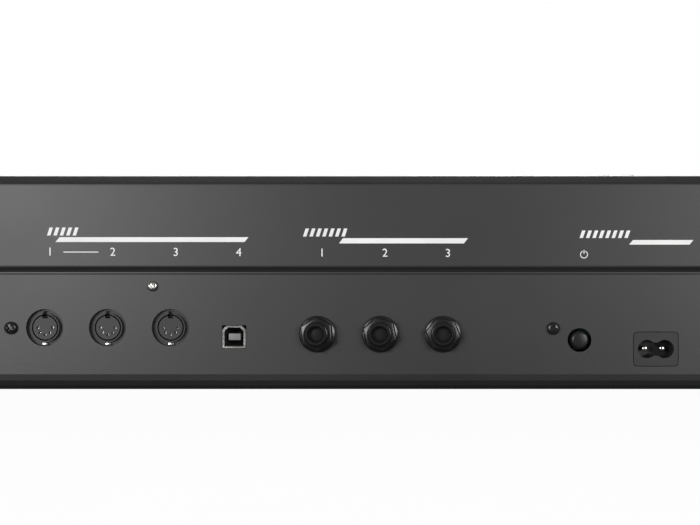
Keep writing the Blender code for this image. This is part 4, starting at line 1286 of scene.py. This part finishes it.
@dataclass
class Knobs(SubAssembly):
    """Fluted knobs with their pointers, and the scales printed round them."""

    skirt_radii: Row = mm(7.9, 8.0)
    skirt_edge: float = 0.3 * MM
    grip: Profile = (
        mm(8.0, 2.0), mm(7.3, 2.6), mm(6.9, 8.4), mm(6.4, 9.1), mm(5.6, 9.4), mm(5.0, 9.1), mm(1.0, 9.1)
    )
    smooth_angle: float = 32.0
    flutes: int = 16
    flute_radius: float = 0.8 * MM
    flute_circle: float = 7.5 * MM
    flute_length: float = 7 * MM
    flute_middle: float = 6.6 * MM
    flute_sides: int = 12
    pointer: Box = (mm(-0.45, 1.5, 9.05), mm(0.45, 6.3, 9.45))
    pointer_edge: float = 0.1 * MM
    ticks: int = 11
    numbered: int = 5
    first_angle: float = 240.0
    tick_step: float = 30.0
    tick: Box = (mm(10.4, -0.15, 0), mm(12.0, 0.15, 0.05))
    ink_thickness: float = 0.05 * MM
    digit_circle: float = 14.0 * MM
    digit_height: float = 2.4 * MM
    digit_lift: float = 0.03 * MM

    def knob(self, node: str, top: float) -> None:
        """One knob, its pointer and its scale.

        Args:
            node: the CAD node.
            top: height of the top panel.
        """
        x, y, _ = middle_of(node)
        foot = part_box(node)[0][2] - top
        skirt = [(self.skirt_radii[0], foot), (self.skirt_radii[1], foot + self.skirt_edge)]
        body = self.shop.turned([*skirt, *self.grip], (x, y, top))
        self.shop.cut(body, [self.shop.joined(self.flute_cutters((x, y, top)))])
        self.shop.finish_piece(body, f"{node}_finished", "plastic_black", node, [node], self.smooth_angle)
        pointer = self.shop.block(self.pointer, self.pointer_edge, (x, y, top))
        self.shop.finish_piece(pointer, f"{node}_pointer", "ink_white", node)
        self.shop.finish_piece(self.shop.joined(self.scale((x, y, top))), f"{node}_scale", "ink_white")

    def flute_cutters(self, foot: Triple) -> list[Thing]:
        """Rods that cut the flutes.

        Args:
            foot: middle of the knob on the top panel.

        Returns:
            The rods.
        """
        cutters = []
        for k in range(self.flutes):
            angle = 2 * math.pi * (k + 0.5) / self.flutes
            reach_x, reach_y = self.flute_circle * math.cos(angle), self.flute_circle * math.sin(angle)
            clear_selection()
            bpy.ops.mesh.primitive_cylinder_add(
                vertices=self.flute_sides,
                radius=self.flute_radius,
                depth=self.flute_length,
                location=shifted(foot, (reach_x, reach_y, self.flute_middle)),
            )
            cutters.append(bpy.context.object)
        return cutters

    def scale(self, foot: Triple) -> list[Thing]:
        """Ticks round a knob, with a number at both ends and in the middle.

        Args:
            foot: middle of the knob on the top panel.

        Returns:
            The marks.
        """
        marks = []
        for k in range(self.ticks):
            angle = math.radians(self.first_angle - self.tick_step * k)
            tick = self.shop.block(self.tick)
            tick.data.transform(Matrix.Translation(foot) @ Matrix.Rotation(angle, 4, "Z"))
            marks.append(tick)
            if k % self.numbered == 0:
                reach_x, reach_y = self.digit_circle * math.cos(angle), self.digit_circle * math.sin(angle)
                spot = shifted(foot, (reach_x, reach_y, self.digit_lift))
                marks.append(lettering(str(k), self.digit_height, self.ink_thickness, spot))
        return marks


@dataclass
class Tabs(SubAssembly):
    """Tab buttons, each with a lamp behind it and a number in front."""

    edge: float = 0.4 * MM
    lamp_offset: float = 9.5 * MM
    lamp: Profile = (mm(1.2, 0.0), mm(1.2, 0.5), mm(1.05, 0.9), mm(0.6, 1.15), mm(0.2, 1.2))
    lamp_sides: int = 20
    digit_height: float = 3.0 * MM
    ink_thickness: float = 0.05 * MM
    digit_lift: float = 0.03 * MM

    def tab(self, node: str, top: float) -> None:
        """One tab button with its lamp and number.

        Args:
            node: the CAD node.
            top: height of the top panel.
        """
        self.shop.softened(node, self.edge, "button_grey")
        x, y, _ = middle_of(node)
        lamp = self.shop.turned(self.lamp, (x, y + self.lamp_offset, top), Axis.UP, self.lamp_sides)
        self.shop.finish_piece(lamp, f"{node}_lamp", "lens_red")
        place = (x, y - self.lamp_offset, top + self.digit_lift)
        number = lettering(node[-1], self.digit_height, self.ink_thickness, place)
        self.shop.finish_piece(number, f"{node}_number", "ink_white")


@dataclass
class TopPanel(SubAssembly):
    """All controls of the top panel."""

    controls: int = 6
    lever_edge: float = 0.5 * MM

    def build(self) -> None:
        """Make the drawbars, the knobs, the tabs and the speed lever."""
        Drawbars(self.shop).build()
        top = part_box("top_cover")[1][2]
        knobs, tabs = Knobs(self.shop), Tabs(self.shop)
        for i in range(1, self.controls + 1):
            knobs.knob(f"rotary_knob_{i}", top)
            tabs.tab(f"tab_button_{i}", top)
        self.shop.softened("rotary_speed_lever", self.lever_edge, "plastic_black")


@dataclass
class Studio:
    """Pale floor, soft lamps, white surroundings and the camera.

    Attributes:
        panel: places on the rear wall.
        distance: camera to the wall.
        eye_row: photograph row at the camera's height.
        eye_column: photograph column straight ahead of the camera.
        width: photograph's width in columns.
        height: photograph's height in rows.
        sensor: width of the sensor in millimetres.
        white_share: share of the floor's colour that no shadow dims.
        ambient: strength of the surroundings' light on the object.
    """

    panel: RearPanel
    distance: float = 0.440
    eye_row: float = 300.0
    eye_column: float = 430.0
    width: float = 700.0
    height: float = 525.0
    sensor: float = 36.0
    floor_size: float = 12.0
    floor_tones: Pair = (0.11, 0.13)
    floor_edges: Pair = (0.3, 0.7)
    floor_scale: float = 30.0
    floor_white: float = 1.08
    white_share: float = 0.9
    ambient: float = 0.14

    def camera(self) -> None:
        """Place the camera behind the organ, level with the wall's middle."""
        data = bpy.data.cameras.new("camera")
        obj = bpy.data.objects.new("camera", data)
        bpy.context.scene.collection.objects.link(obj)
        x, y, z = self.panel.at(self.eye_column, self.eye_row)
        obj.location = (x, y + self.distance, z)
        obj.rotation_euler = (QUARTER_TURN, 0, math.pi)
        data.sensor_width = self.sensor
        data.lens = self.panel.scale * self.distance / self.width * self.sensor
        data.shift_x = (self.width / 2 - self.eye_column) / self.width
        data.shift_y = (self.eye_row - self.height / 2) / self.width
        data.clip_start = 10 * MM
        bpy.context.scene.camera = obj

    def lamp(self, name: str, place: Triple, aim: Triple, size: Pair, power: float) -> None:
        """One soft lamp.

        Args:
            name: its name.
            place: where it hangs.
            aim: the point that it faces.
            size: width and height.
            power: watts.
        """
        data = bpy.data.lights.new(name, "AREA")
        data.shape = "RECTANGLE"
        data.size, data.size_y = size
        data.energy = power
        obj = bpy.data.objects.new(name, data)
        bpy.context.scene.collection.objects.link(obj)
        obj.location = place
        obj.rotation_euler = (Vector(aim) - Vector(place)).to_track_quat("-Z", "Y").to_euler()

    def floor(self) -> None:
        """Wide floor, nearly white to the camera and dim to the object."""
        clear_selection()
        bpy.ops.mesh.primitive_plane_add(size=self.floor_size, location=(0, 0, 0))
        plane = bpy.context.object
        plane.name = "floor"
        graph = Graph("floor")
        tones = [(edge, (tone,) * 3) for edge, tone in zip(self.floor_edges, self.floor_tones)]
        graph.feed(Base_Color=graph.ramp(graph.noise(self.floor_scale), tones), Roughness=0.9)
        seen = graph.node("ShaderNodeLightPath", output="Is Camera Ray")
        glow = {"Color": (1, 1, 1, 1), "Strength": self.floor_white}
        white = graph.node("ShaderNodeEmission", inputs=glow)
        plain = Value(graph, graph.shader.outputs[0])
        mixed = graph.node("ShaderNodeMixShader", inputs={0: seen * self.white_share, 1: plain, 2: white})
        graph.links.new(mixed.socket, graph.nodes["Material Output"].inputs["Surface"])
        plane.data.materials.append(graph.material)

    def world(self) -> None:
        """Surroundings that are white to the camera and dim to everything else."""
        world = bpy.data.worlds.new("studio")
        bpy.context.scene.world = world
        world.use_nodes = True
        nodes, links = world.node_tree.nodes, world.node_tree.links
        backdrop = nodes["Background"]
        backdrop.inputs["Color"].default_value = (1, 1, 1, 1)
        path = nodes.new("ShaderNodeLightPath")
        strength = nodes.new("ShaderNodeMapRange")
        strength.inputs["To Min"].default_value = self.ambient
        strength.inputs["To Max"].default_value = 1.0
        links.new(path.outputs["Is Camera Ray"], strength.inputs["Value"])
        links.new(strength.outputs["Result"], backdrop.inputs["Strength"])

    def build(self) -> None:
        """Set the camera, the floor, the surroundings and the lamps."""
        self.camera()
        self.floor()
        self.world()
        y = self.panel.wall_y
        left, right = (-0.1, y, 0.07), (-0.35, y, 0.07)
        self.lamp("rear_left_softbox", place=(0.95, y + 1.7, 0.35), aim=left, size=(0.9, 0.9), power=27.0)
        self.lamp("rear_right_softbox", place=(-1.35, y + 1.6, 0.35), aim=right, size=(0.7, 0.9), power=19.0)
        self.lamp("high_softbox", place=(0.0, -1.3, 1.3), aim=(0, -0.05, 0.1), size=(1.8, 0.9), power=34.0)
        self.lamp("front_softbox", place=(0.3, -1.8, 0.7), aim=(0, 0, 0.1), size=(1.6, 0.9), power=16.0)


def main() -> None:
    """Build the visual model round the frame."""
    logging.basicConfig(level=logging.INFO, format="%(message)s")
    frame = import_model()
    bpy.context.scene.view_settings.view_transform = "Standard"
    shop = Workshop({finish.name: finish.build() for finish in FINISHES}, frame)
    chassis_low, chassis_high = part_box("bottom_chassis")
    panel = RearPanel(chassis_high[1], chassis_low[2])
    Studio(panel).build()
    assemblies = (
        Casework(shop), Screws(shop, panel), Print(shop, panel), RoundSockets(shop), Jacks(shop, panel),
        CaseJoint(shop, panel), DataSocket(shop), MainsInlet(shop), Keyboard(shop), TopPanel(shop),
    )
    for assembly in assemblies:
        assembly.build()
        log.info("built %s", type(assembly).__name__)


if __name__ == "__main__":
    main()
